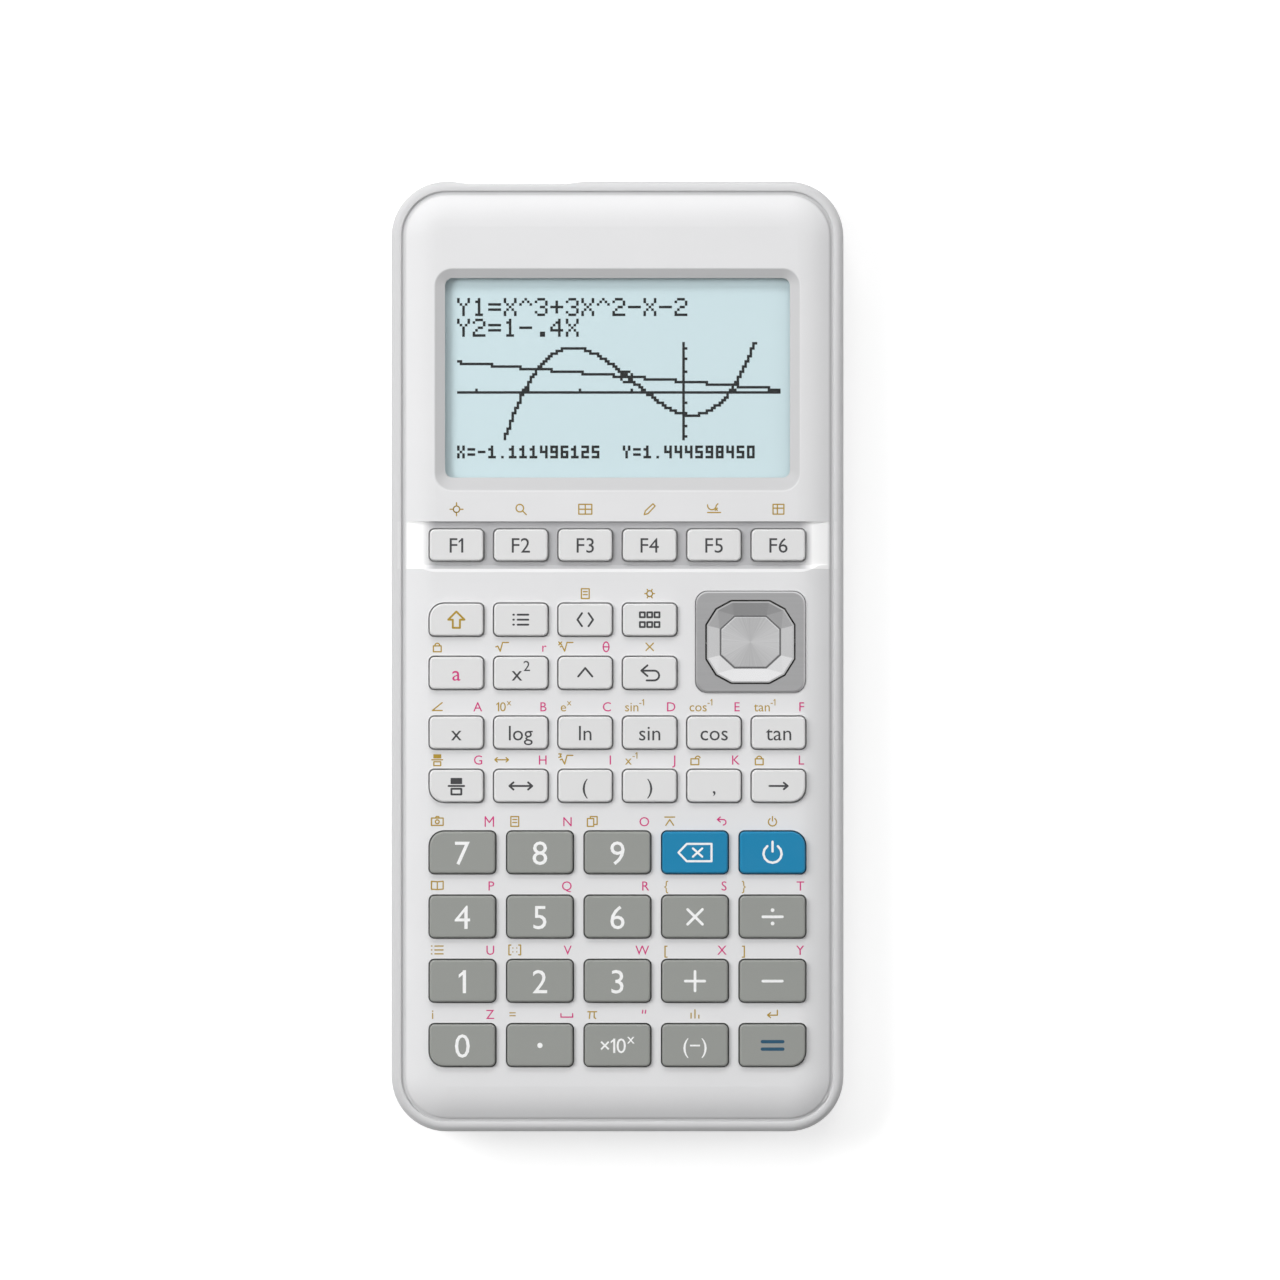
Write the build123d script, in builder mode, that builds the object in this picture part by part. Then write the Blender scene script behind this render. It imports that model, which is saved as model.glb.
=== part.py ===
from build123d import *
from collections import namedtuple
import os

os.makedirs("parts", exist_ok=True)

# Graphing calculator, lying on its back. Millimetres, +Z up out of the screen, +X across the
# keys, +Y from the keys towards the screen. The origin is below the middle, on the surface
# that the standing pads rest on.

# ---- Case outline ----
case_width = 83.5
case_length = 175.5
case_corner = 10.2
case_wall = 1.8
pad_height = 0.6  # moulded standing pads under the rear case
rear_shell_height = 8.4  # from the back face to the split between the two case halves
rear_floor = 1.8
rear_edge_fillet = 3.0

# ---- Front face: rim bead, groove, then a crowned plate ----
rim_width = 1.95
rim_outer_fillet = 1.4
rim_inner_fillet = 0.35
groove_width = 0.65
groove_depth = 0.5
groove_skin = 1.2
rim_drop = 1.7  # rim top below the plate top
plate_thickness = 1.6
roll_core = 1.7  # corner radius left on the flat top inside the rolled edge
inner_margin = 4.2  # solid band between the case side and the key cavity
overrun = 1.0  # how far a cutter runs past the surface it opens

# ---- Stack behind the screen ----
cover_thickness = 1.2
cell_diameter = 10.3
cell_body_length = 43.3
cell_nub_length = 1.2
cell_nub_radius = 1.9
cell_gap = 1.0
cell_count = 4
cell_clearance = 0.1
roof_thickness = 0.6
lcd_thickness = 1.6
lens_air_gap = 0.1
lens_thickness = 1.2
lens_lip = 0.4
bevel_depth = 0.8

# ---- Screen ----
screen_from_top = 36.35  # window centre below the top edge
window_margin = 9.95  # window to case side
window_height = 36.8
window_corner = 1.4
bevel_side = 2.0
bevel_top = 1.8
bevel_bottom = 2.6
lens_overlap = 1.4
lens_clearance = 0.1
lcd_inset = 0.4

# ---- Function strip ----
strip_from_top = 67.2
strip_height = 8.7
strip_depth = 0.7
strip_ramp = 1.3
strip_end_flat = 7.2  # case side to the end of the strip's flat floor

# ---- Keys ----
keypad_margin = 7.15  # case side to the outer keys
small_gap = 2.0
large_gap = 2.2
small_legend_gap = 3.9
large_legend_gap = 4.15
bottom_margin = 16.15  # bottom edge to the centre of the lowest key row
small_step, large_step = 1.0, 1.207  # row pitches, in units of the small row pitch
large_to_small_step, legend_step, strip_step = 1.25, 1.122, 1.403
function_key_height = 5.8
key_clearance = 0.25
key_flange = 0.7
flange_thickness = 0.8
flange_clearance = 0.2
key_wall = 1.0
key_roof = 1.1
key_corner = 0.9
key_block_corner = 2.7
hollow_corner = 0.3
key_edge_fillet = 0.35
key_travel = 0.7
key_rise = 1.0
stem_radius = 1.3
stem_drop = 0.3
dome_clearance = 0.1

# ---- Key membrane and circuit board ----
dome_height = 0.2  # a dome pressed flat
dome_radius = 2.2
membrane_thickness = 0.6
board_thickness = 1.0
board_clearance = 0.95
post_radius = 1.5
post_inset = 7.0
board_window_gap = 0.4
switch_half, switch_height, switch_stem = 2.0, 2.0, 1.0
membrane_gap = 0.6
flex_gap, flex_width, flex_inset = 1.5, 3.0, 4.0

# ---- Cursor pad ----
bezel_side_gap = 3.5
bezel_above_row = 2.3
bezel_below_row = 0.7
bezel_corner = 2.3
bezel_border_x = 2.1
bezel_border_y = 1.9
bezel_clearance = 0.1
bezel_recess = 0.8
bezel_rise = 0.5
bezel_fillet = 0.4
cursor_rise = 1.4
cursor_clearance = 0.3
cursor_case_clearance = 0.6
cursor_dish = 0.9
cursor_roof = 0.9
cursor_wall = 1.1
pivot_below_plate = 2.8
pivot_shaft_radius = 0.6
pivot_hole_radius = 0.65
pivot_hub_radius = 1.3
shaft_wall = 0.3  # material left under a pivot shaft's hole
lug_thickness = 1.2
lug_half_width = 1.4
rib_thickness = 1.2
rib_gap = 1.0  # pad's side to the case ribs
rib_root = 0.2  # how far a rib runs into the plate
lug_gap = 1.1
shaft_spare = 0.1
shaft_inset = 0.2
leg_share_x, leg_share_y = 0.56, 0.54  # leg places, as shares of the pad's half sizes
leg_gap = 1.0  # leg to its dome, room for the tilt
lip_width = 0.25
corner_share_x, corner_share_y = 0.775, 0.8  # the pad's cut corners, as shares of its half sizes
flat_share_x, flat_share_y = 0.43, 0.415
disc_share_x, disc_share_y = 0.71, 0.66  # the disc, as shares of the pad's half sizes
disc_flat_x, disc_flat_y = 0.53, 0.5
cursor_leg_radius = 0.8

# ---- Sockets in the top edge ----
recess_left, recess_right = -27.5, -9.5
recess_depth = 0.5
recess_ramp = 3.5
jack_x = -13.5
jack_bore_radius = 1.3
jack_bore_depth = 10.0
jack_nose_radius = 2.3
jack_body_width, jack_body_height = 6.0, 5.0
usb_x = -22.0
usb_width, usb_height, usb_length = 7.7, 3.9, 9.2
usb_wall = 0.35
usb_corner = 0.8
usb_back_wall = 1.5
usb_tongue_start, usb_tongue_setback = 1.0, 1.2
jack_back_wall = 1.0
socket_wall_gap = 0.2
usb_tongue_width, usb_tongue_thickness = 4.6, 0.9
socket_setback = 0.3
socket_clearance = 0.3

# ---- Battery bay and cover ----
bay_wall = 1.0
bay_from_top = 14.25  # top edge to the inside of the bay's upper end wall
contact_thickness = 0.4
contact_inset = 1.0
spring_length = 2.4
spring_radius, spring_tip_radius = 2.6, 1.56
cover_ledge = 2.0
cover_clearance = 0.2
hook_length = 1.5
hook_thickness = 0.6
slot_gap = 0.5
cover_slot_play = 0.1
hook_width = 5.0
hook_spread = 12.0
tab_length = 1.2
tab_half_width = 5.0
tab_thickness = 0.8
scoop_length = 4.0
scoop_side = 1.0
scoop_lift = 0.3
grip_count = 5
grip_height = 0.3
grip_width = 0.8
grip_pitch = 2.0
grip_start = 3.0
grip_side = 5.0

# ---- Screws, pads, rails and restart hole ----
screw_x_inset = 5.15
screw_y_inset = 7.25
screw_y_top_inset = 8.75
screw_y_middle_gap = 3.5
boss_radius = 2.2
rear_boss_radius = 3.2
boss_clearance = 0.4
boss_top_gap = 0.3
pilot_spare = 0.3
thread_clearance = 0.05
screw_shank_radius = 1.1
screw_head_radius = 2.1
screw_head_height = 1.2
screw_length = 11.0
screw_clearance = 0.1
screw_sink = 2.0
cross_length, cross_width, cross_depth = 2.4, 0.5, 0.7
pad_length, pad_width = 14.0, 4.0
pad_x_inset, pad_y_inset = 16.5, 7.25
rail_depth = 0.7
rail_height = 1.6
rail_z = 5.0
restart_x, restart_y = -15.0, 9.0
restart_radius = 0.9

# ---- Heights that follow from the stack ----
back_z = pad_height
floor_z = back_z + rear_floor
split_z = back_z + rear_shell_height
cover_top_z = back_z + cover_thickness
cell_axis_z = cover_top_z + cell_clearance + cell_diameter / 2
roof_under_z = cell_axis_z + cell_diameter / 2 + cell_clearance
lcd_z = roof_under_z + roof_thickness
lens_z = lcd_z + lcd_thickness + lens_air_gap
lip_z = lens_z + lens_thickness
bevel_z = lip_z + lens_lip
plate_z = bevel_z + bevel_depth
rim_z = plate_z - rim_drop
groove_z = rim_z - groove_depth
plate_under_z = plate_z - plate_thickness
strip_z = plate_z - strip_depth
side_cavity_z = groove_z - groove_skin
flange_top_z = plate_under_z - flange_clearance
flange_z = flange_top_z - flange_thickness
stem_z = flange_z - stem_drop
dome_z = stem_z - key_travel - dome_clearance
membrane_top_z = dome_z - dome_height
board_top_z = membrane_top_z - membrane_thickness
board_z = board_top_z - board_thickness
pivot_z = plate_z - pivot_below_plate
bearing_z = pivot_z - pivot_hole_radius - shaft_wall

# ---- Plan sizes that follow ----
half_width, half_length = case_width / 2, case_length / 2
inner_corner = case_corner - case_wall
plate_inset = rim_width + groove_width
plate_width = case_width - 2 * plate_inset
plate_length = case_length - 2 * plate_inset
plate_corner = case_corner - plate_inset
roll_width = plate_corner - roll_core
screen_y = half_length - screen_from_top
window_width = case_width - 2 * window_margin
lens_width = window_width + 2 * lens_overlap
lens_height = window_height + 2 * lens_overlap
strip_y = half_length - strip_from_top

keypad_width = case_width - 2 * keypad_margin
small_pitch = (keypad_width + small_gap) / 6
large_pitch = (keypad_width + large_gap) / 5
small_width = small_pitch - small_gap
large_width = large_pitch - large_gap
first_row_y = -half_length + bottom_margin
row_steps = [large_step] * 3 + [large_to_small_step, small_step, legend_step, small_step, strip_step]
row_unit = (strip_y - first_row_y) / sum(row_steps)
row_y = [first_row_y + row_unit * sum(row_steps[:count]) for count in range(len(row_steps) + 1)]
small_height = row_unit * small_step - small_legend_gap
large_height = row_unit * large_step - large_legend_gap

bezel_right = keypad_width / 2
bezel_left = small_pitch / 2 + small_width / 2 + bezel_side_gap
bezel_top = row_y[7] + small_height / 2 + bezel_above_row
bezel_bottom = row_y[6] - small_height / 2 - bezel_below_row
bezel_width, bezel_height = bezel_right - bezel_left, bezel_top - bezel_bottom
cursor_x, cursor_y = (bezel_left + bezel_right) / 2, (bezel_top + bezel_bottom) / 2
cursor_half_x = bezel_width / 2 - bezel_border_x
cursor_half_y = bezel_height / 2 - bezel_border_y

cell_pitch = cell_diameter + cell_gap
cell_x = [(place - (cell_count - 1) / 2) * cell_pitch for place in range(cell_count)]
bay_half_width = cell_pitch * (cell_count - 1) / 2 + cell_diameter / 2 + cell_clearance
bay_length = cell_body_length + cell_nub_length + spring_length + 2 * contact_thickness
bay_top = half_length - bay_from_top
bay_bottom = bay_top - bay_length
bay_y = (bay_top + bay_bottom) / 2
cover_half_width = bay_half_width + cover_ledge
cover_top = bay_top + cover_ledge
cover_bottom = bay_bottom - cover_ledge
cover_end_radius = cover_thickness / 2
cover_axis_y = cover_top - cover_end_radius

screw_x = half_width - screw_x_inset
screw_rows = [
    -half_length + screw_y_inset,
    row_y[7] + small_height / 2 + key_flange + screw_y_middle_gap,
    half_length - screw_y_top_inset,
]
screw_places = [(side * screw_x, y) for y in screw_rows for side in (-1, 1)]
board_half_width = half_width - case_wall - board_clearance
board_half_length = half_length - case_wall - board_clearance - recess_depth
socket_face_y = half_length - recess_depth - socket_setback
socket_wall_y = half_length - case_wall
jack_z = board_z - jack_body_height / 2
usb_z = board_z - usb_height / 2

# ---- Keys: name, place, size, top and the one corner of the block that is rounded more ----
Key = namedtuple("Key", "name x y width height top block_corner")

small_rows = [
    (row_y[7], ["shift", "options", "variables", "menu"]),
    (row_y[6], ["alpha", "square", "power", "exit"]),
    (row_y[5], ["variable", "log", "ln", "sin", "cos", "tan"]),
    (row_y[4], ["fraction", "convert", "open_bracket", "close_bracket", "comma", "arrow"]),
]
large_rows = [
    (row_y[3], ["7", "8", "9", "delete", "clear"]),
    (row_y[2], ["4", "5", "6", "multiply", "divide"]),
    (row_y[1], ["1", "2", "3", "plus", "minus"]),
    (row_y[0], ["0", "decimal", "exponent", "negative", "execute"]),
]
block_corners = {
    "shift": (-1, 1),
    "fraction": (-1, -1),
    "arrow": (1, -1),
    "7": (-1, 1),
    "clear": (1, 1),
    "0": (-1, -1),
    "execute": (1, -1),
}

keys = []
for column in range(6):
    x = (column - 2.5) * small_pitch
    top = strip_z + key_rise
    keys.append(Key(f"key_f{column + 1}", x, strip_y, small_width, function_key_height, top, None))
for rows, pitch, columns, width, height in (
    (small_rows, small_pitch, 6, small_width, small_height),
    (large_rows, large_pitch, 5, large_width, large_height),
):
    for y, names in rows:
        for column, name in enumerate(names):
            x = (column - (columns - 1) / 2) * pitch
            corner = block_corners.get(name)
            keys.append(Key(f"key_{name}", x, y, width, height, plate_z + key_rise, corner))


def key_outline(key, grow=0.0):
    """The key's outline at its place, grown all round by a clearance."""
    width, height = key.width + 2 * grow, key.height + 2 * grow
    with BuildSketch(mode=Mode.PRIVATE) as outline:
        with Locations((key.x, key.y)):
            RectangleRounded(width, height, key_corner + grow)
        if key.block_corner:
            side_x, side_y = key.block_corner
            radius = key_block_corner + grow
            with Locations((key.x - side_x * radius, key.y - side_y * radius)):
                RectangleRounded(width + 2 * radius, height + 2 * radius, radius, mode=Mode.INTERSECT)
    return outline.sketch


def cursor_points(grow=0.0):
    """The twelve corners of the cursor pad, from the middle of its top edge round to the right."""
    x, y = cursor_half_x + grow, cursor_half_y + grow
    quarter = [(flat_share_x * x, y), (corner_share_x * x, corner_share_y * y), (x, flat_share_y * y)]
    right = quarter + [(px, -py) for px, py in reversed(quarter)]
    return right + [(-px, -py) for px, py in right]


def cursor_disc_points():
    """The eight corners of the flat disc in the middle of the cursor pad."""
    x, y = disc_share_x * cursor_half_x, disc_share_y * cursor_half_y
    right = [(disc_flat_x * x, y), (x, disc_flat_y * y), (x, -disc_flat_y * y), (disc_flat_x * x, -y)]
    return right + [(-px, -py) for px, py in right]


def cursor_outline(grow=0.0):
    """The cursor pad's outline at its place."""
    with BuildSketch(mode=Mode.PRIVATE) as outline:
        with Locations((cursor_x, cursor_y)):
            Polygon(*cursor_points(grow), align=None)
    return outline.sketch


def case_block(bottom, top, inset=0.0, mode=Mode.ADD):
    """A slab of the case outline between two heights, in the part being built."""
    with BuildSketch(Plane.XY.offset(bottom)) as outline:
        RectangleRounded(case_width - 2 * inset, case_length - 2 * inset, case_corner - inset)
    extrude(outline.sketch, amount=top - bottom, mode=mode)


def plate_section(half):
    """Cross-section of the crowned plate: flat top, edges rolling down to the groove."""
    with BuildSketch(mode=Mode.PRIVATE) as section:
        with BuildLine():
            Line((-half, split_z), (half, split_z))
            Line((half, split_z), (half, rim_z))
            TangentArc((half - roll_width, plate_z), (half, rim_z), tangent=(1, 0))
            Line((half - roll_width, plate_z), (roll_width - half, plate_z))
            TangentArc((roll_width - half, plate_z), (-half, rim_z), tangent=(-1, 0))
            Line((-half, rim_z), (-half, split_z))
        make_face()
    return section.sketch


def box_between(low, high, mode=Mode.ADD):
    """A box between two corners, in the part being built."""
    size = [high[axis] - low[axis] for axis in range(3)]
    middle = [(high[axis] + low[axis]) / 2 for axis in range(3)]
    with Locations(Vector(*middle)):
        Box(*size, mode=mode)


def post(places, bottom, top, radius, mode=Mode.ADD):
    """Round posts, or holes, at places in plan between two heights."""
    with BuildSketch(Plane.XY.offset(bottom)) as rounds:
        with Locations(*places):
            Circle(radius)
    extrude(rounds.sketch, amount=top - bottom, mode=mode)


def cut_port_wall():
    """The shallow recess in the top edge and the openings for the two sockets."""
    outer = half_length + overrun
    with BuildSketch(Plane.XY.offset(back_z)) as recess:
        Polygon(
            (recess_left - recess_ramp, half_length),
            (recess_left, half_length - recess_depth),
            (recess_right, half_length - recess_depth),
            (recess_right + recess_ramp, half_length),
            (recess_right + recess_ramp, outer),
            (recess_left - recess_ramp, outer),
            align=None,
        )
    extrude(recess.sketch, amount=plate_z - back_z, mode=Mode.SUBTRACT)
    with BuildSketch(Plane.XZ.offset(-outer)) as openings:
        with Locations((jack_x, jack_z)):
            Circle(jack_nose_radius + socket_clearance)
        with Locations((usb_x, usb_z)):
            grown = 2 * socket_clearance
            RectangleRounded(usb_width + grown, usb_height + grown, usb_corner)
    extrude(openings.sketch, amount=case_wall + 2 * overrun, mode=Mode.SUBTRACT)


# ---- Function strip cutter: flat floor, ends rolling off, soft lower edge ----
strip_end = plate_width / 2
strip_flat = half_width - strip_end_flat
with BuildPart() as strip_cutter:
    with BuildSketch(Plane.XZ.offset(-strip_y)):
        with BuildLine():
            TangentArc((strip_flat, strip_z), (strip_end, rim_z), tangent=(1, 0))
            Line((strip_end, rim_z), (strip_end, plate_z + overrun))
            Line((strip_end, plate_z + overrun), (-strip_end, plate_z + overrun))
            Line((-strip_end, plate_z + overrun), (-strip_end, rim_z))
            TangentArc((-strip_flat, strip_z), (-strip_end, rim_z), tangent=(-1, 0))
            Line((-strip_flat, strip_z), (strip_flat, strip_z))
        make_face()
    extrude(amount=strip_height / 2 + strip_ramp, both=True)
    with BuildSketch(Plane.YZ):
        lower, upper = strip_y - strip_height / 2, strip_y + strip_height / 2
        Polygon(
            (lower + strip_ramp / 2, 0),
            (lower + strip_ramp / 2, strip_z),
            (lower - strip_ramp / 2, plate_z),
            (lower - strip_ramp / 2, plate_z + overrun),
            (upper, plate_z + overrun),
            (upper, 0),
            align=None,
        )
    extrude(amount=half_width, both=True, mode=Mode.INTERSECT)

# ---- Front case ----
with BuildPart() as front_case:
    case_block(split_z, rim_z)
    case_block(split_z, rim_z, inset=rim_width, mode=Mode.SUBTRACT)
    rim_face = front_case.faces().sort_by(Axis.Z)[-1]
    fillet(rim_face.outer_wire().edges(), rim_outer_fillet)
    rim_face = front_case.faces().filter_by(Plane.XY).sort_by(Axis.Z)[-1]
    fillet(rim_face.inner_wires()[0].edges(), rim_inner_fillet)
    case_block(split_z, groove_z, inset=rim_width)
    # crowned plate: two rolled sections crossing, and a rolled puck at each corner
    straight_x, straight_y = plate_width / 2 - plate_corner, plate_length / 2 - plate_corner
    with BuildSketch(Plane.XZ):
        add(plate_section(plate_width / 2))
    extrude(amount=straight_y, both=True)
    with BuildSketch(Plane.YZ):
        add(plate_section(plate_length / 2))
    extrude(amount=straight_x, both=True)
    for corner_x in (-straight_x, straight_x):
        for corner_y in (-straight_y, straight_y):
            with BuildSketch(Plane((corner_x, corner_y, 0), x_dir=(1, 0, 0), z_dir=(0, -1, 0))):
                add(plate_section(plate_corner))
                with Locations((plate_corner / 2, plate_z / 2)):
                    Rectangle(plate_corner, 2 * plate_z, mode=Mode.INTERSECT)
            revolve(axis=Axis((corner_x, corner_y, 0), (0, 0, 1)))
    add(strip_cutter.part, mode=Mode.SUBTRACT)
    # bevelled display recess, window opening and the lens seat behind it
    bevel_height = window_height + bevel_top + bevel_bottom
    bevel_y = screen_y + (bevel_top - bevel_bottom) / 2
    with BuildSketch(Plane.XY.offset(bevel_z)):
        with Locations((0, screen_y)):
            RectangleRounded(window_width, window_height, window_corner)
    with BuildSketch(Plane.XY.offset(plate_z)):
        with Locations((0, bevel_y)):
            RectangleRounded(window_width + 2 * bevel_side, bevel_height, window_corner + bevel_side)
    loft(ruled=True, mode=Mode.SUBTRACT)
    with BuildSketch(Plane.XY.offset(split_z)):
        with Locations((0, screen_y)):
            RectangleRounded(window_width, window_height, window_corner)
    extrude(amount=plate_z - split_z, mode=Mode.SUBTRACT)
    # hollow inside
    case_block(split_z, side_cavity_z, inset=case_wall, mode=Mode.SUBTRACT)
    with BuildSketch(Plane.XY.offset(split_z)):
        grown = 2 * inner_margin + 2 * case_wall
        RectangleRounded(case_width - grown, case_length - grown - 2 * rim_width, case_corner - inner_margin)
    extrude(amount=plate_under_z - split_z, mode=Mode.SUBTRACT)
    with BuildSketch(Plane.XY.offset(split_z)):
        with Locations((0, screen_y)):
            seat = 2 * lens_clearance
            RectangleRounded(lens_width + seat, lens_height + seat, window_corner)
    extrude(amount=lip_z - split_z, mode=Mode.SUBTRACT)
    # key holes, and room under the plate for the keys' flanges
    with BuildSketch(Plane.XY.offset(split_z)):
        for key in keys:
            add(key_outline(key, key_clearance))
    extrude(amount=plate_z + overrun - split_z, mode=Mode.SUBTRACT)
    with BuildSketch(Plane.XY.offset(split_z)):
        for key in keys:
            with Locations((key.x, key.y)):
                room = 2 * (key_flange + key_clearance)
                Rectangle(key.width + room, key.height + room)
    extrude(amount=plate_under_z - split_z, mode=Mode.SUBTRACT)
    # cursor recess, hole and the two ribs that carry the cursor pivot
    with BuildSketch(Plane.XY.offset(plate_z - bezel_recess)):
        with Locations((cursor_x, cursor_y)):
            seat = 2 * bezel_clearance
            RectangleRounded(bezel_width + seat, bezel_height + seat, bezel_corner)
    extrude(amount=bezel_recess + overrun, mode=Mode.SUBTRACT)
    with BuildSketch(Plane.XY.offset(split_z)):
        add(cursor_outline(cursor_case_clearance))
    extrude(amount=plate_z + overrun - split_z, mode=Mode.SUBTRACT)
    rib_inner = cursor_half_x + rib_gap
    for side in (-1, 1):
        rib_x = [cursor_x + side * rib_inner, cursor_x + side * (rib_inner + rib_thickness)]
        box_between(
            (min(rib_x), cursor_y - lug_half_width, bearing_z),
            (max(rib_x), cursor_y + lug_half_width, plate_under_z + rib_root),
        )
    with BuildSketch(Plane.YZ.offset(cursor_x)):
        with Locations((cursor_y, pivot_z)):
            Circle(pivot_hole_radius)
    extrude(amount=rib_inner + rib_thickness + shaft_spare, both=True, mode=Mode.SUBTRACT)
    # screw bosses
    post(screw_places, split_z, plate_under_z - boss_top_gap, boss_radius)
    pilot_top = back_z + screw_sink + screw_length
    pilot_radius = screw_shank_radius + thread_clearance
    post(screw_places, split_z, pilot_top + pilot_spare, pilot_radius, mode=Mode.SUBTRACT)
    cut_port_wall()
front_case.part.label = "front_case"
export_step(front_case.part, "parts/front_case.step")

# ---- Rear case ----
with BuildPart() as rear_case:
    case_block(back_z, split_z)
    fillet(rear_case.faces().sort_by(Axis.Z)[0].edges(), rear_edge_fillet)
    case_block(floor_z, split_z, inset=case_wall, mode=Mode.SUBTRACT)
    # battery bay: four walls and a roof, open downwards for the cover
    wall = bay_half_width + bay_wall
    box_between((-wall, bay_bottom - bay_wall, floor_z), (wall, bay_top + bay_wall, lcd_z))
    box_between(
        (-bay_half_width, bay_bottom, back_z),
        (bay_half_width, bay_top, roof_under_z),
        mode=Mode.SUBTRACT,
    )
    seat = cover_clearance
    box_between(
        (-cover_half_width - seat, cover_bottom - seat, 0),
        (cover_half_width + seat, cover_top + seat, cover_top_z),
        mode=Mode.SUBTRACT,
    )
    # slots that the cover's hooks swing up in, and a scoop for its finger tab
    slot_z = cover_top_z - hook_thickness - cover_slot_play
    for side in (-1, 1):
        box_between(
            (side * hook_spread - hook_width / 2 - seat, bay_top + bay_wall, slot_z),
            (side * hook_spread + hook_width / 2 + seat, cover_top + hook_length + slot_gap, floor_z),
            mode=Mode.SUBTRACT,
        )
    box_between(
        (-tab_half_width - scoop_side, cover_bottom - scoop_length, 0),
        (tab_half_width + scoop_side, cover_bottom, back_z + tab_thickness + scoop_lift),
        mode=Mode.SUBTRACT,
    )
    # posts under the circuit board, screw bosses and their counterbores
    post_x = board_half_width - post_inset
    post_rows = [row_y[0], row_y[3], restart_y, bay_y]
    post([(side * post_x, y) for y in post_rows for side in (-1, 1)], floor_z, board_z, post_radius)
    post(screw_places, floor_z, split_z, rear_boss_radius)
    post(screw_places, back_z, split_z, screw_shank_radius + screw_clearance, mode=Mode.SUBTRACT)
    head_hole = screw_head_radius + screw_clearance
    post(screw_places, back_z, back_z + screw_sink, head_hole, mode=Mode.SUBTRACT)
    post([(restart_x, restart_y)], back_z, floor_z, restart_radius, mode=Mode.SUBTRACT)
    # standing pads
    with BuildSketch():
        pad_x, pad_y = half_width - pad_x_inset, half_length - pad_y_inset
        with Locations(*[(sx * pad_x, sy * pad_y) for sx in (-1, 1) for sy in (-1, 1)]):
            SlotOverall(pad_length, pad_width)
    extrude(amount=pad_height)
    # side rails for a slide-on hard cover
    for side in (-1, 1):
        rail_x = [side * (half_width - rail_depth), side * (half_width + overrun)]
        box_between(
            (min(rail_x), -half_length + case_corner, back_z + rail_z),
            (max(rail_x), half_length + overrun, back_z + rail_z + rail_height),
            mode=Mode.SUBTRACT,
        )
    cut_port_wall()
rear_case.part.label = "rear_case"
export_step(rear_case.part, "parts/rear_case.step")

# ---- Battery cover: plate with a round end that it swings on, two hooks, a finger tab and grip bars ----
with BuildPart() as battery_cover:
    box_between((-cover_half_width, cover_bottom, back_z), (cover_half_width, cover_axis_y, cover_top_z))
    with Locations(Plane((0, cover_axis_y, back_z + cover_end_radius), z_dir=(1, 0, 0))):
        Cylinder(cover_end_radius, 2 * cover_half_width)
    for side in (-1, 1):
        box_between(
            (side * hook_spread - hook_width / 2, cover_axis_y, cover_top_z - hook_thickness),
            (side * hook_spread + hook_width / 2, cover_top + hook_length, cover_top_z),
        )
    box_between(
        (-tab_half_width, cover_bottom - tab_length, back_z),
        (tab_half_width, cover_bottom, back_z + tab_thickness),
    )
    for bar in range(grip_count):
        bar_y = cover_bottom + grip_start + bar * grip_pitch
        bar_half = tab_half_width + grip_side - bar
        box_between((-bar_half, bar_y, back_z - grip_height), (bar_half, bar_y + grip_width, back_z))
battery_cover.part.label = "battery_cover"
export_step(battery_cover.part, "parts/battery_cover.step")

# ---- Four cells side by side, every second one turned round ----
with BuildPart() as aaa_cells:
    for place, x in enumerate(cell_x):
        turn = 1 if place % 2 else -1
        middle = bay_y + turn * (spring_length - cell_nub_length) / 2
        with Locations(Plane((x, middle, cell_axis_z), z_dir=(0, turn, 0))):
            Cylinder(cell_diameter / 2, cell_body_length)
        nub_y = middle + turn * (cell_body_length + cell_nub_length) / 2
        with Locations(Plane((x, nub_y, cell_axis_z), z_dir=(0, turn, 0))):
            Cylinder(cell_nub_radius, cell_nub_length)
aaa_cells.part.label = "aaa_cells"
export_step(aaa_cells.part, "parts/aaa_cells.step")

# ---- Contacts: a plate at each end of each cell, and a spring at its flat end ----
with BuildPart() as battery_contacts:
    for place, x in enumerate(cell_x):
        turn = 1 if place % 2 else -1
        plate_half = cell_diameter / 2 - contact_inset
        for end, wall_y in ((-1, bay_bottom), (1, bay_top)):
            plate_y = [wall_y, wall_y - end * contact_thickness]
            box_between(
                (x - plate_half, min(plate_y), cell_axis_z - plate_half),
                (x + plate_half, max(plate_y), cell_axis_z + plate_half),
            )
        spring_y = bay_y - turn * (bay_length / 2 - contact_thickness)
        with Locations(Plane((x, spring_y, cell_axis_z), z_dir=(0, turn, 0))):
            from_plate = (Align.CENTER, Align.CENTER, Align.MIN)
            Cone(spring_radius, spring_tip_radius, spring_length, align=from_plate)
battery_contacts.part.label = "battery_contacts"
export_step(battery_contacts.part, "parts/battery_contacts.step")

# ---- Lens and LCD module ----
with BuildPart() as display_window:
    with BuildSketch(Plane.XY.offset(lens_z)):
        with Locations((0, screen_y)):
            RectangleRounded(lens_width, lens_height, window_corner)
    extrude(amount=lens_thickness)
display_window.part.label = "display_window"
export_step(display_window.part, "parts/display_window.step")

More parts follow.
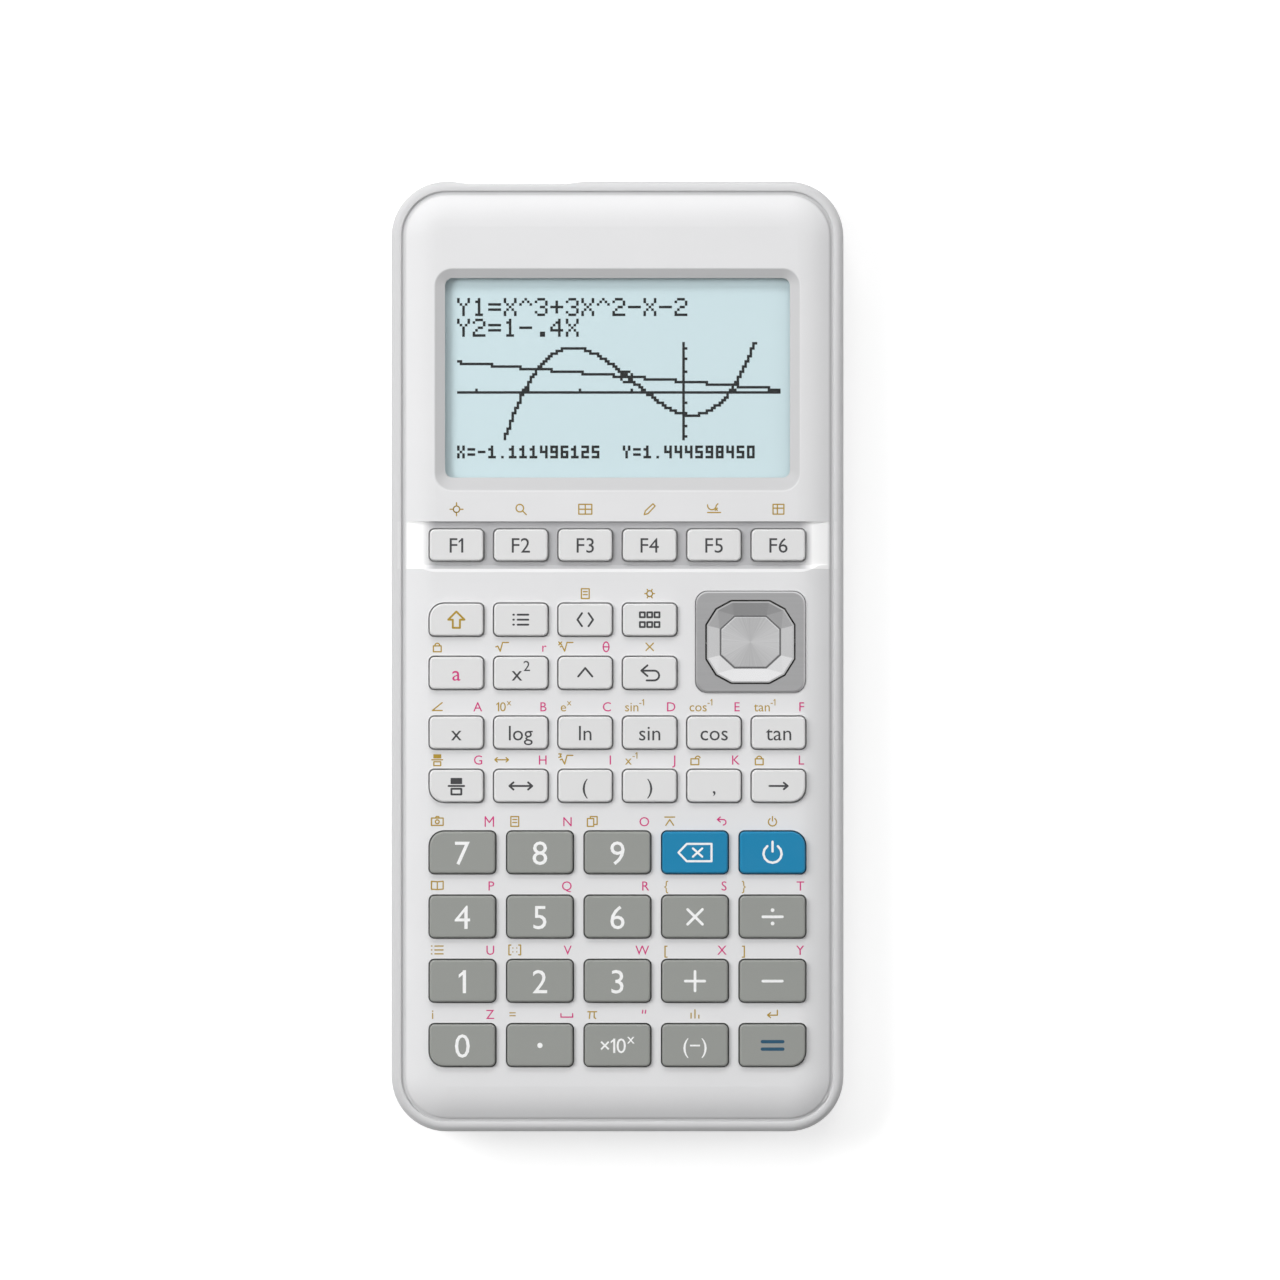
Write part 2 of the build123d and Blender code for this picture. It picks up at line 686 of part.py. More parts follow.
with BuildPart() as lcd_module:
    lcd_half_x, lcd_half_y = lens_width / 2 - lcd_inset, lens_height / 2 - lcd_inset
    box_between(
        (-lcd_half_x, screen_y - lcd_half_y, lcd_z),
        (lcd_half_x, screen_y + lcd_half_y, lcd_z + lcd_thickness),
    )
    # contact strips down to the circuit board, beside the battery bay
    flex_inner = bay_half_width + bay_wall + flex_gap
    for side in (-1, 1):
        flex_x = [side * flex_inner, side * (flex_inner + flex_width)]
        box_between(
            (min(flex_x), screen_y - lcd_half_y + flex_inset, board_top_z),
            (max(flex_x), screen_y + lcd_half_y - flex_inset, lcd_z),
        )
lcd_module.part.label = "lcd_module"
export_step(lcd_module.part, "parts/lcd_module.step")

# ---- Circuit board with a window round the battery bay ----
with BuildPart() as circuit_board:
    box_between(
        (-board_half_width, -board_half_length, board_z),
        (board_half_width, board_half_length, board_top_z),
    )
    fillet(circuit_board.edges().filter_by(Axis.Z), inner_corner)
    window_edge = bay_wall + board_window_gap
    window_half = bay_half_width + window_edge
    box_between(
        (-window_half, bay_bottom - window_edge, board_z),
        (window_half, bay_top + window_edge, board_top_z),
        mode=Mode.SUBTRACT,
    )
    post(screw_places, board_z, board_top_z, boss_radius + boss_clearance, mode=Mode.SUBTRACT)
    # processor, memory, two capacitors and the crystal on the underside
    for x, y, width, length, height in (
        (-10.0, row_y[4], 14.0, 14.0, 1.6),
        (12.0, row_y[4], 12.0, 8.0, 1.2),
        (14.0, row_y[2], 6.0, 6.0, 5.0),
        (-14.0, row_y[2], 6.0, 6.0, 5.0),
        (0.0, row_y[3], 8.0, 3.0, 2.5),
    ):
        box_between(
            (x - width / 2, y - length / 2, board_z - height),
            (x + width / 2, y + length / 2, board_z),
        )
    # restart switch over the hole in the rear case
    switch_z = board_z - switch_height
    box_between(
        (restart_x - switch_half, restart_y - switch_half, switch_z),
        (restart_x + switch_half, restart_y + switch_half, board_z),
    )
    post([(restart_x, restart_y)], switch_z - switch_stem, switch_z, restart_radius)
circuit_board.part.label = "circuit_board"
export_step(circuit_board.part, "parts/circuit_board.step")

# ---- Rubber membrane with a dome under every key ----
cursor_legs = [
    (cursor_x + side_x * leg_share_x * cursor_half_x, cursor_y + side_y * leg_share_y * cursor_half_y)
    for side_x in (-1, 1)
    for side_y in (-1, 1)
]
lug_outer = cursor_half_y - cursor_wall - lug_gap
lug_inner = lug_outer - lug_thickness
with BuildPart() as key_membrane:
    membrane_half = keypad_width / 2 + key_flange
    box_between(
        (-membrane_half, row_y[0] - large_height, board_top_z),
        (membrane_half, bay_bottom - window_edge, membrane_top_z),
    )
    key_places = [(key.x, key.y) for key in keys]
    post(key_places + cursor_legs, membrane_top_z, dome_z, dome_radius)
    box_between(
        (cursor_x - lug_half_width - membrane_gap, cursor_y - lug_outer - membrane_gap, board_top_z),
        (cursor_x + lug_half_width + membrane_gap, cursor_y + lug_outer + membrane_gap, dome_z),
        mode=Mode.SUBTRACT,
    )
    post(screw_places, board_top_z, membrane_top_z, boss_radius + boss_clearance, mode=Mode.SUBTRACT)
key_membrane.part.label = "key_membrane"
export_step(key_membrane.part, "parts/key_membrane.step")

# ---- Keys: hollow cap, retaining flange under the plate and a stem over its dome ----
for key in keys:
    with BuildPart() as key_cap:
        with BuildSketch(Plane.XY.offset(flange_z)):
            with Locations((key.x, key.y)):
                RectangleRounded(key.width + 2 * key_flange, key.height + 2 * key_flange, key_corner)
        extrude(amount=flange_thickness)
        with BuildSketch(Plane.XY.offset(flange_top_z)):
            add(key_outline(key))
        extrude(amount=key.top - flange_top_z)
        fillet(key_cap.faces().sort_by(Axis.Z)[-1].edges(), key_edge_fillet)
        hollow_top_z = key.top - key_roof
        with BuildSketch(Plane.XY.offset(flange_z)):
            with Locations((key.x, key.y)):
                RectangleRounded(key.width - 2 * key_wall, key.height - 2 * key_wall, hollow_corner)
        extrude(amount=hollow_top_z - flange_z, mode=Mode.SUBTRACT)
        post([(key.x, key.y)], stem_z, hollow_top_z, stem_radius)
    key_cap.part.label = key.name
    export_step(key_cap.part, f"parts/{key.name}.step")

# ---- Cursor bezel ----
with BuildPart() as cursor_bezel:
    bezel_z = plate_z - bezel_recess
    with BuildSketch(Plane.XY.offset(bezel_z)):
        with Locations((cursor_x, cursor_y)):
            RectangleRounded(bezel_width, bezel_height, bezel_corner)
    extrude(amount=bezel_recess + bezel_rise)
    fillet(cursor_bezel.faces().sort_by(Axis.Z)[-1].edges(), bezel_fillet)
    with BuildSketch(Plane.XY.offset(bezel_z)):
        add(cursor_outline(cursor_clearance))
    extrude(amount=bezel_recess + bezel_rise, mode=Mode.SUBTRACT)
cursor_bezel.part.label = "cursor_bezel"
export_step(cursor_bezel.part, "parts/cursor_bezel.step")

# ---- Cursor pad: rim, facets falling inwards to the disc, lugs and legs underneath ----
cursor_top_z = plate_z + cursor_rise
disc_z = cursor_top_z - cursor_dish
outer_ring = [Vector(cursor_x + x, cursor_y + y, cursor_top_z) for x, y in cursor_points(-lip_width)]
inner_ring = [Vector(cursor_x + x, cursor_y + y, disc_z) for x, y in cursor_disc_points()]
facets = [outer_ring, inner_ring]
for quarter in range(4):
    first, middle, last = outer_ring[3 * quarter : 3 * quarter + 3]
    after = outer_ring[(3 * quarter + 3) % 12]
    near, far = inner_ring[2 * quarter], inner_ring[2 * quarter + 1]
    beyond = inner_ring[(2 * quarter + 2) % 8]
    facets += [[first, middle, near], [near, middle, far], [middle, last, far], [last, after, beyond, far]]
dish = Solid(Shell([Face(Wire.make_polygon(points, close=True)) for points in facets]))

with BuildPart() as cursor_pad:
    with BuildSketch(Plane.XY.offset(plate_under_z)):
        add(cursor_outline())
    extrude(amount=cursor_top_z - plate_under_z)
    add(dish, mode=Mode.SUBTRACT)
    under_z = disc_z - cursor_roof
    with BuildSketch(Plane.XY.offset(plate_under_z)):
        add(cursor_outline(-cursor_wall))
    extrude(amount=under_z - plate_under_z, mode=Mode.SUBTRACT)
    for side in (-1, 1):
        lug_y = [cursor_y + side * lug_inner, cursor_y + side * lug_outer]
        box_between(
            (cursor_x - lug_half_width, min(lug_y), bearing_z),
            (cursor_x + lug_half_width, max(lug_y), under_z),
        )
    post(cursor_legs, dome_z + leg_gap, under_z, cursor_leg_radius)
    with BuildSketch(Plane.XZ.offset(-cursor_y)):
        with Locations((cursor_x, pivot_z)):
            Circle(pivot_hole_radius)
    extrude(amount=lug_outer + shaft_spare, both=True, mode=Mode.SUBTRACT)
cursor_pad.part.label = "cursor_pad"
export_step(cursor_pad.part, "parts/cursor_pad.step")

# ---- Cursor pivot: a cross with one shaft in the case ribs and one in the pad's lugs ----
with BuildPart() as cursor_pivot:
    with Locations(Plane((cursor_x, cursor_y, pivot_z), z_dir=(1, 0, 0))):
        Cylinder(pivot_shaft_radius, 2 * (rib_inner + rib_thickness - shaft_inset))
    with Locations(Plane((cursor_x, cursor_y, pivot_z), z_dir=(0, 1, 0))):
        Cylinder(pivot_shaft_radius, 2 * lug_outer)
    with Locations((cursor_x, cursor_y, pivot_z)):
        Sphere(pivot_hub_radius)
cursor_pivot.part.label = "cursor_pivot"
export_step(cursor_pivot.part, "parts/cursor_pivot.step")

# ---- Sockets under the board's top bar ----
with BuildPart() as port_sockets:
    jack_back = socket_face_y - jack_bore_depth - jack_back_wall
    box_between(
        (jack_x - jack_body_width / 2, jack_back, board_z - jack_body_height),
        (jack_x + jack_body_width / 2, socket_wall_y - socket_wall_gap, board_z),
    )
    with BuildSketch(Plane.XZ.offset(-socket_face_y)):
        with Locations((jack_x, jack_z)):
            Circle(jack_nose_radius)
    extrude(amount=socket_face_y - socket_wall_y + 2 * socket_wall_gap)
    with BuildSketch(Plane.XZ.offset(-socket_face_y)):
        with Locations((jack_x, jack_z)):
            Circle(jack_bore_radius)
    extrude(amount=jack_bore_depth, mode=Mode.SUBTRACT)
    usb_half_x, usb_half_z = usb_width / 2, usb_height / 2
    usb_back_y = socket_face_y - usb_length
    tongue_half_x, tongue_half_z = usb_tongue_width / 2, usb_tongue_thickness / 2
    box_between(
        (usb_x - usb_half_x, usb_back_y, usb_z - usb_half_z),
        (usb_x + usb_half_x, socket_face_y, usb_z + usb_half_z),
    )
    box_between(
        (usb_x - usb_half_x + usb_wall, usb_back_y + usb_back_wall, usb_z - usb_half_z + usb_wall),
        (usb_x + usb_half_x - usb_wall, socket_face_y, usb_z + usb_half_z - usb_wall),
        mode=Mode.SUBTRACT,
    )
    box_between(
        (usb_x - tongue_half_x, usb_back_y + usb_tongue_start, usb_z - tongue_half_z),
        (usb_x + tongue_half_x, socket_face_y - usb_tongue_setback, usb_z + tongue_half_z),
    )
port_sockets.part.label = "port_sockets"
export_step(port_sockets.part, "parts/port_sockets.step")

# ---- Six self-tapping screws from the back ----
with BuildPart() as case_screws:
    head_z = back_z + screw_sink - screw_head_height
    post(screw_places, head_z, back_z + screw_sink, screw_head_radius)
    post(screw_places, back_z + screw_sink, back_z + screw_sink + screw_length, screw_shank_radius)
    with BuildSketch(Plane.XY.offset(head_z)):
        with Locations(*screw_places):
            Rectangle(cross_length, cross_width)
            Rectangle(cross_width, cross_length)
    extrude(amount=cross_depth, mode=Mode.SUBTRACT)
case_screws.part.label = "case_screws"
export_step(case_screws.part, "parts/case_screws.step")
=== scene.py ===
import math

import bpy
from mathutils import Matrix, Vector


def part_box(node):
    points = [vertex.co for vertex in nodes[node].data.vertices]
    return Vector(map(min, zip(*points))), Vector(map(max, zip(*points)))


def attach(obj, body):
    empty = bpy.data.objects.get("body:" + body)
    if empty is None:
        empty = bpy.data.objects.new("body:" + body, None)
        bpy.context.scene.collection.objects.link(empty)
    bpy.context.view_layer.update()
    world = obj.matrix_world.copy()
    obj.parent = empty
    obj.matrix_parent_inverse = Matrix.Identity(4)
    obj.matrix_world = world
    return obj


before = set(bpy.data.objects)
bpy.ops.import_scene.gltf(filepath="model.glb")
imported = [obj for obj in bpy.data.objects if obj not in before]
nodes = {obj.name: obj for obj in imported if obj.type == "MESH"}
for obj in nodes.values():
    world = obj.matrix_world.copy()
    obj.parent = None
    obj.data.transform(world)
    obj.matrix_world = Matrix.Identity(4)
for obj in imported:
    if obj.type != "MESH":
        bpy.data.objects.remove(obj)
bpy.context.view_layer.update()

MM = 0.001


# ---------------------------------------------------------------- shader nodes
def linear(red, green, blue):
    """A display colour, 0 to 255, as the shader's linear colour."""

    def channel(value):
        share = value / 255
        return share / 12.92 if share <= 0.04045 else ((share + 0.055) / 1.055) ** 2.4

    return (channel(red), channel(green), channel(blue), 1.0)


def add_node(tree, kind, **values):
    made = tree.nodes.new(kind)
    for key, value in values.items():
        setattr(made, key, value)
    return made


def calculate(tree, operation, *terms):
    """A Math node whose terms are sockets or plain numbers."""
    made = add_node(tree, "ShaderNodeMath", operation=operation)
    for socket, term in zip(made.inputs, terms):
        if isinstance(term, (int, float)):
            socket.default_value = term
        else:
            tree.links.new(term, socket)
    return made.outputs[0]


def map_range(tree, source, low, high, out_low, out_high):
    made = add_node(tree, "ShaderNodeMapRange")
    end_highlights = {"From Min": low, "From Max": high, "To Min": out_low, "To Max": out_high}
    for socket, value in end_highlights.items():
        made.inputs[socket].default_value = value
    tree.links.new(source, made.inputs["Value"])
    return made.outputs["Result"]


def split_axes(tree, place):
    """The X, Y and Z sockets of a texture coordinate."""
    made = add_node(tree, "ShaderNodeSeparateXYZ")
    tree.links.new(place, made.inputs["Vector"])
    return made.outputs


# ---------------------------------------------------------------- materials
NOISE_LOW, NOISE_HIGH = 0.3, 0.7  # where nearly all of a noise texture's values lie
MIX_FACTOR, MIX_A, MIX_B, MIX_RESULT = 0, 6, 7, 2  # colour sockets of a Mix node


class Shader:
    """A Principled material with short helpers for its texture nodes."""

    def __init__(self, name, colour, roughness=0.5, metallic=0.0):
        self.material = bpy.data.materials.new(name)
        self.material.use_nodes = True
        self.tree = self.material.node_tree
        self.bsdf = self.tree.nodes["Principled BSDF"]
        self.colour = colour
        self.set("Base Color", colour)
        self.set("Roughness", roughness)
        self.set("Metallic", metallic)

    def set(self, socket, value):
        self.bsdf.inputs[socket].default_value = value

    def node(self, kind, **values):
        return add_node(self.tree, kind, **values)

    def link(self, source, target):
        self.tree.links.new(source, target)

    def drive(self, source, socket):
        """Feeds one of the Principled node's sockets."""
        self.link(source, self.bsdf.inputs[socket])

    def math(self, operation, *terms):
        return calculate(self.tree, operation, *terms)

    def remap(self, source, low, high, out_low, out_high):
        return map_range(self.tree, source, low, high, out_low, out_high)

    def place(self):
        return self.node("ShaderNodeTexCoord").outputs["Object"]

    def axes(self):
        return split_axes(self.tree, self.place())

    def noise(self, scale, detail=3.0, rough=0.5, stretch=None):
        """Noise over the object, drawn out along its axes when stretch gives a scale for each."""
        place = self.place()
        if stretch:
            mapping = self.node("ShaderNodeMapping")
            mapping.inputs["Scale"].default_value = stretch
            self.link(place, mapping.inputs["Vector"])
            place = mapping.outputs["Vector"]
        made = self.node("ShaderNodeTexNoise")
        made.inputs["Scale"].default_value = scale
        made.inputs["Detail"].default_value = detail
        made.inputs["Roughness"].default_value = rough
        self.link(place, made.inputs["Vector"])
        return made.outputs["Fac"]

    def noise_along(self, source, scale):
        """Noise along one measure, such as an angle or a distance."""
        made = self.node("ShaderNodeTexNoise", noise_dimensions="1D")
        made.inputs["Scale"].default_value = scale
        self.link(source, made.inputs["W"])
        return made.outputs["Fac"]

    def vary_roughness(self, scale, low, high):
        self.drive(self.remap(self.noise(scale), NOISE_LOW, NOISE_HIGH, low, high), "Roughness")

    def bump(self, height, distance, strength=1.0):
        made = self.node("ShaderNodeBump")
        made.inputs["Distance"].default_value = distance
        made.inputs["Strength"].default_value = strength
        self.link(height, made.inputs["Height"])
        self.drive(made.outputs["Normal"], "Normal")

    def vary_colour(self, source, spread):
        """Lightens and darkens the base colour a little by a texture."""
        made = self.node("ShaderNodeMix", data_type="RGBA", blend_type="MULTIPLY")
        made.inputs[MIX_FACTOR].default_value = 1.0
        made.inputs[MIX_A].default_value = self.colour
        self.link(self.remap(source, NOISE_LOW, NOISE_HIGH, 1 - spread, 1 + spread), made.inputs[MIX_B])
        self.drive(made.outputs[MIX_RESULT], "Base Color")


def moulded_plastic(name, colour, roughness, grain=0.35 * MM, depth=0.006 * MM):
    """Injection-moulded plastic: fine spark-eroded grain, faint cloudiness and a soft sheen."""
    made = Shader(name, colour, roughness)
    made.vary_colour(made.noise(60.0, detail=4.0), 0.012)
    made.vary_roughness(220.0, roughness - 0.04, roughness + 0.04)
    made.bump(made.noise(1 / grain, detail=2.0), depth)
    return made


def front_plastic():
    """The front case: satin plate, polished silver-grey function strip with painted highlights at its ends, and
    painted shade on the display bevel and on the rim.
    """
    satin, polished = 0.42, 0.14
    made = moulded_plastic("front_plastic", linear(222, 222, 223), satin, depth=0.004 * MM)
    axes = made.axes()

    def reach(axis, middle, half, soft):
        """1 within half of the middle along an axis, fading to 0 over a soft edge."""
        away = made.math("ABSOLUTE", made.math("SUBTRACT", axes[axis], middle))
        return made.remap(away, half, half + soft, 1.0, 0.0)

    def both(one, other):
        return made.math("MULTIPLY", one, other)

    def tint(mask, colour):
        mixed = made.node("ShaderNodeMix", data_type="RGBA")
        plain = made.bsdf.inputs["Base Color"].links[0].from_socket
        made.link(mask, mixed.inputs[MIX_FACTOR])
        made.link(plain, mixed.inputs[MIX_A])
        mixed.inputs[MIX_B].default_value = colour
        made.drive(mixed.outputs[MIX_RESULT], "Base Color")

    along_strip = reach("Y", *STRIP_BAND, 0.05 * MM)
    strip = both(reach("X", 0.0, STRIP_HALF, 2.5 * MM), along_strip)
    end_highlights = both(along_strip, made.remap(strip, 0.0, 1.0, 1.0, 0.0))
    bevel_shade = both(reach("X", 0.0, BEVEL_HALF_X, 0.02 * MM), reach("Y", *BEVEL_BAND, 0.02 * MM))
    bevel_shade = both(bevel_shade, reach("Z", 0.0, PLATE_TOP - BEVEL_START, 0.1 * MM))
    rim_shade = reach("Z", 0.0, PLATE_TOP - RIM_DROP, 0.25 * MM)
    # painted highlight: the strip's ends are whitened where their curve would catch the side lamps
    tint(end_highlights, linear(250, 250, 250))
    tint(strip, linear(176, 176, 178))
    # painted shade: the display's recessed bevel is darkened below BEVEL_START
    tint(bevel_shade, linear(196, 196, 197))
    # painted shade: the rim and the case's sides below it are darkened
    tint(rim_shade, linear(204, 204, 205))
    made.drive(made.remap(strip, 0.0, 1.0, satin, polished), "Roughness")
    return made


def brushed_metal(name, colour, roughness, stretch):
    """Metal with fine lines drawn along one axis."""
    made = Shader(name, colour, roughness, metallic=1.0)
    lines = made.noise(1.0, stretch=stretch)
    made.vary_colour(lines, 0.03)
    made.bump(lines, 0.002 * MM)
    return made


def spun_metal(name, colour):
    """Metal turned on a lathe: fine rings, and a painted cone of highlight and shade round the centre, broken
    into streaks, in the base colour.
    """
    made = Shader(name, colour, 0.3, metallic=1.0)
    place = made.place()
    axes = split_axes(made.tree, place)
    angle = made.math("ARCTAN2", axes["Y"], axes["X"])
    # painted highlight and shade: lighter and darker colour by angle round the disc's middle
    painted_cone = made.math("COSINE", made.math("MULTIPLY", angle, 2.0))
    streaks = made.noise_along(angle, 14.0)
    shade = made.math("ADD", made.remap(painted_cone, -1, 1, 0.42, 0.58), made.remap(streaks, 0, 1, -0.1, 0.1))
    made.vary_colour(shade, 0.24)
    distance = made.node("ShaderNodeVectorMath", operation="LENGTH")
    made.link(place, distance.inputs[0])
    made.bump(made.noise_along(distance.outputs["Value"], 9000.0), 0.003 * MM)
    made.set("Anisotropic", 0.7)
    turned = made.node("ShaderNodeTangent", direction_type="RADIAL", axis="Z")
    made.drive(turned.outputs["Tangent"], "Tangent")
    return made


def ink(name, colour, roughness=0.45):
    """Printed ink with a faint unevenness."""
    made = Shader(name, colour, roughness)
    made.vary_colour(made.noise(1500.0), 0.05)
    made.bump(made.noise(5000.0), 0.002 * MM)
    return made


def lcd_surface():
    """The polariser: pale blue-green with the faint grid of the dots."""
    made = Shader("lcd_surface", linear(217, 238, 243), 0.5)
    axes = made.axes()
    lines = []
    for axis in ("X", "Y"):
        wave = made.math("SINE", made.math("MULTIPLY", axes[axis], 2 * math.pi / DOT))
        lines.append(made.remap(wave, 0.6, 1.0, 0.5, 0.42))
    made.vary_colour(made.math("MINIMUM", *lines), 0.05)
    return made


def clear_lens():
    """Clear acrylic: light passes straight through, and the surface keeps its gloss."""
    made = Shader("clear_lens", linear(120, 126, 126), 0.05)
    made.set("Alpha", 0.05)
    made.set("IOR", 1.49)
    made.bump(made.noise(25.0), 0.01 * MM, 0.2)
    made.vary_roughness(900.0, 0.03, 0.08)
    return made


def rubber(name, colour):
    """Moulded rubber or soft plastic, matt and a little cloudy."""
    made = Shader(name, colour, 0.7)
    made.vary_colour(made.noise(90.0), 0.04)
    made.bump(made.noise(1200.0), 0.01 * MM)
    return made


def dress(node, shader):
    """Gives a carried-over CAD node its material."""
    mesh = nodes[node].data
    mesh.materials.clear()
    mesh.materials.append(shader.material)


# ---------------------------------------------------------------- sizes, those of the frame read from it
DOT = 0.478 * MM  # pitch of the screen's dots
DOT_COLUMNS, DOT_ROWS = 128, 64
PRINT_DEPTH = 0.015 * MM
FLANGE = 0.7 * MM  # how far a key's flange reaches past its visible sides
LARGE_KEY = 8.5 * MM  # the digit keys are higher than this, the small keys lower
BEVEL_START = 0.12 * MM  # depth at which the painted shade on the display's bevel begins
RIM_DROP = 1.75 * MM  # depth of the rim's upper edge below the plate, below which painted shade darkens the case
f1_low, f1_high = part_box("key_f1")
STRIP_BAND = ((f1_low.y + f1_high.y) / 2, 4.35 * MM)  # middle and half width along y
STRIP_HALF = 33.5 * MM
_, front_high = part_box("front_case")
PLATE_TOP = front_high.z
lcd_low, lcd_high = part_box("lcd_module")
lens_low, lens_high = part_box("display_window")
BEVEL_BAND = ((lens_low.y + lens_high.y) / 2 - 0.4 * MM, 20.7 * MM)
BEVEL_HALF_X = 33.9 * MM

# ---------------------------------------------------------------- inks, and the materials of the CAD nodes
GOLD = ink("gold_ink", linear(168, 138, 40))
MAGENTA = ink("magenta_ink", linear(200, 40, 118))
DARK = ink("dark_ink", linear(58, 58, 60))
WHITE = ink("white_ink", linear(240, 240, 240))
NAVY = ink("navy_ink", linear(28, 74, 100))
BLACK = ink("screen_dots", linear(14, 16, 18), 0.8)

KEY_PALE = moulded_plastic("key_pale", linear(219, 219, 219), 0.4)
KEY_GREY = moulded_plastic("key_grey", linear(145, 147, 143), 0.42)
KEY_BLUE = moulded_plastic("key_blue", linear(0, 124, 168), 0.45)
for node in nodes:
    if node.startswith("key_"):
        low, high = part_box(node)
        dress(node, KEY_GREY if high.y - low.y > LARGE_KEY else KEY_PALE)
rear = moulded_plastic("rear_plastic", linear(220, 220, 221), 0.55, grain=0.5 * MM, depth=0.02 * MM)
bezel = brushed_metal("bezel_metal", linear(186, 186, 187), 0.3, (40.0, 2500.0, 40.0))
jacket = brushed_metal("cell_jacket", linear(120, 122, 128), 0.35, (2000.0, 50.0, 50.0))
steel = brushed_metal("screw_steel", linear(150, 150, 152), 0.35, (900.0, 60.0, 900.0))
dress("key_delete", KEY_BLUE)
dress("key_clear", KEY_BLUE)
dress("front_case", front_plastic())
dress("rear_case", rear)
dress("battery_cover", rear)
dress("display_window", clear_lens())
dress("lcd_module", lcd_surface())
dress("cursor_bezel", bezel)
dress("cursor_pad", brushed_metal("pad_metal", linear(206, 206, 207), 0.27, (60.0, 60.0, 60.0)))
dress("cursor_pivot", rubber("pivot_plastic", linear(230, 230, 226)))
dress("key_membrane", rubber("membrane_rubber", linear(205, 205, 198)))
dress("circuit_board", moulded_plastic("board_green", linear(36, 92, 60), 0.4))
dress("aaa_cells", jacket)
dress("battery_contacts", brushed_metal("nickel", linear(205, 204, 198), 0.25, (900.0, 60.0, 60.0)))
dress("case_screws", steel)
dress("port_sockets", moulded_plastic("socket_black", linear(40, 40, 42), 0.45))


# ---------------------------------------------------------------- printing
RAISED_SIZE, RAISED_LIFT = 0.7, 0.34  # raised letters, in units of the plain letters' size
LETTER_MIDDLE = 0.36  # height of a letter's middle above its base line
LETTER_GAP = 0.06
LAYERS, LAYER_STEP = 12, 0.02
NO_LENGTH = 1e-9
BOX_FACES = [[0, 3, 2, 1], [4, 5, 6, 7], [0, 1, 5, 4], [1, 2, 6, 5], [2, 3, 7, 6], [3, 0, 4, 7]]


def place_mesh(name, points, faces, material):
    mesh = bpy.data.meshes.new(name)
    mesh.from_pydata(points, [], faces)
    mesh.update()
    mesh.materials.append(material)
    made = bpy.data.objects.new(name, mesh)
    bpy.context.scene.collection.objects.link(made)
    return made


class Print:
    """Raised ink of one colour that rides on one body, gathered into one mesh."""

    def __init__(self, name, body, shader, slot):
        self.name, self.body, self.shader, self.slot = name, body, shader, slot
        self.points, self.faces, self.count = [], [], 0

    def add(self, points, faces):
        first = len(self.points)
        self.points += points
        self.faces += [[first + index for index in face] for face in faces]

    def text(self, words, x, y, z, size, side=0.0):
        """Writes words with their middle at x, y. A ^ raises the next letters; side is -1, 0 or 1."""
        pieces, width = [], 0.0
        for order, part in enumerate(words.split("^")):
            scale = size if order == 0 else size * RAISED_SIZE
            lift = 0.0 if order == 0 else size * RAISED_LIFT
            for run in part.replace("1", " 1 ").split():
                points, faces, advance = letters(run)
                pieces.append((points, faces, width, lift, scale))
                width += advance * scale
        width -= LETTER_GAP * scale
        start = x - width / 2 - side * width / 2
        for points, faces, offset, lift, scale in pieces:
            left, base = start + offset, y + lift
            placed = [(left + px * scale, base + (py - LETTER_MIDDLE) * scale, z + pz) for px, py, pz in points]
            self.add(placed, faces)

    def strokes(self, lines, x, y, z, size, width):
        """Draws polylines given in units of size about a middle point, as flat round-ended strokes."""
        for line in lines:
            spots = [Vector((x + px * size, y + py * size, z)) for px, py in line]
            for start, end in zip(spots, spots[1:]):
                self.bar(start, end, width)
            for spot in spots:
                self.dot(spot, width / 2)

    def layer(self):
        """A slightly different thickness for each stroke, so that no two tops share a plane."""
        self.count += 1
        return PRINT_DEPTH * (1 + LAYER_STEP * (self.count % LAYERS))

    def bar(self, start, end, width):
        along = end - start
        if along.length < NO_LENGTH:
            return
        side = Vector((-along.y, along.x, 0)).normalized() * width / 2
        up = Vector((0, 0, self.layer()))
        foot = [start - side, end - side, end + side, start + side]
        self.add([tuple(p) for p in foot] + [tuple(p + up) for p in foot], BOX_FACES)

    def dot(self, spot, radius, count=10):
        turns = [2 * math.pi * i / count for i in range(count)]
        foot = [(spot.x + math.cos(turn) * radius, spot.y + math.sin(turn) * radius, spot.z) for turn in turns]
        lift = self.layer()
        top = [(px, py, pz + lift) for px, py, pz in foot]
        sides = [[i, (i + 1) % count, count + (i + 1) % count, count + i] for i in range(count)]
        end_highlights = [list(range(count))[::-1], [count + i for i in range(count)]]
        self.add(foot + top, end_highlights + sides)

    def make(self):
        made = place_mesh(self.name, self.points, self.faces, self.shader.material)
        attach(made, self.body)


def add_flag(points, faces):
    """Gives a one its flag; the font's own one is a bare stem."""
    top = max(py for _, py, _ in points)
    reach, overlap, drop, thick = 0.12, 0.04, 0.13, 0.1
    inner = reach + overlap
    flag = [(0.0, top - drop - thick), (inner, top - thick), (inner, top), (0.0, top - drop)]
    count = len(points)
    points = [(px + reach, py, pz) for px, py, pz in points]
    points += [(px, py, 0.0) for px, py in flag]
    points += [(px, py, PRINT_DEPTH * 1.05) for px, py in flag]
    return points, faces + [[count + index for index in face] for face in BOX_FACES]


letter_store = {}


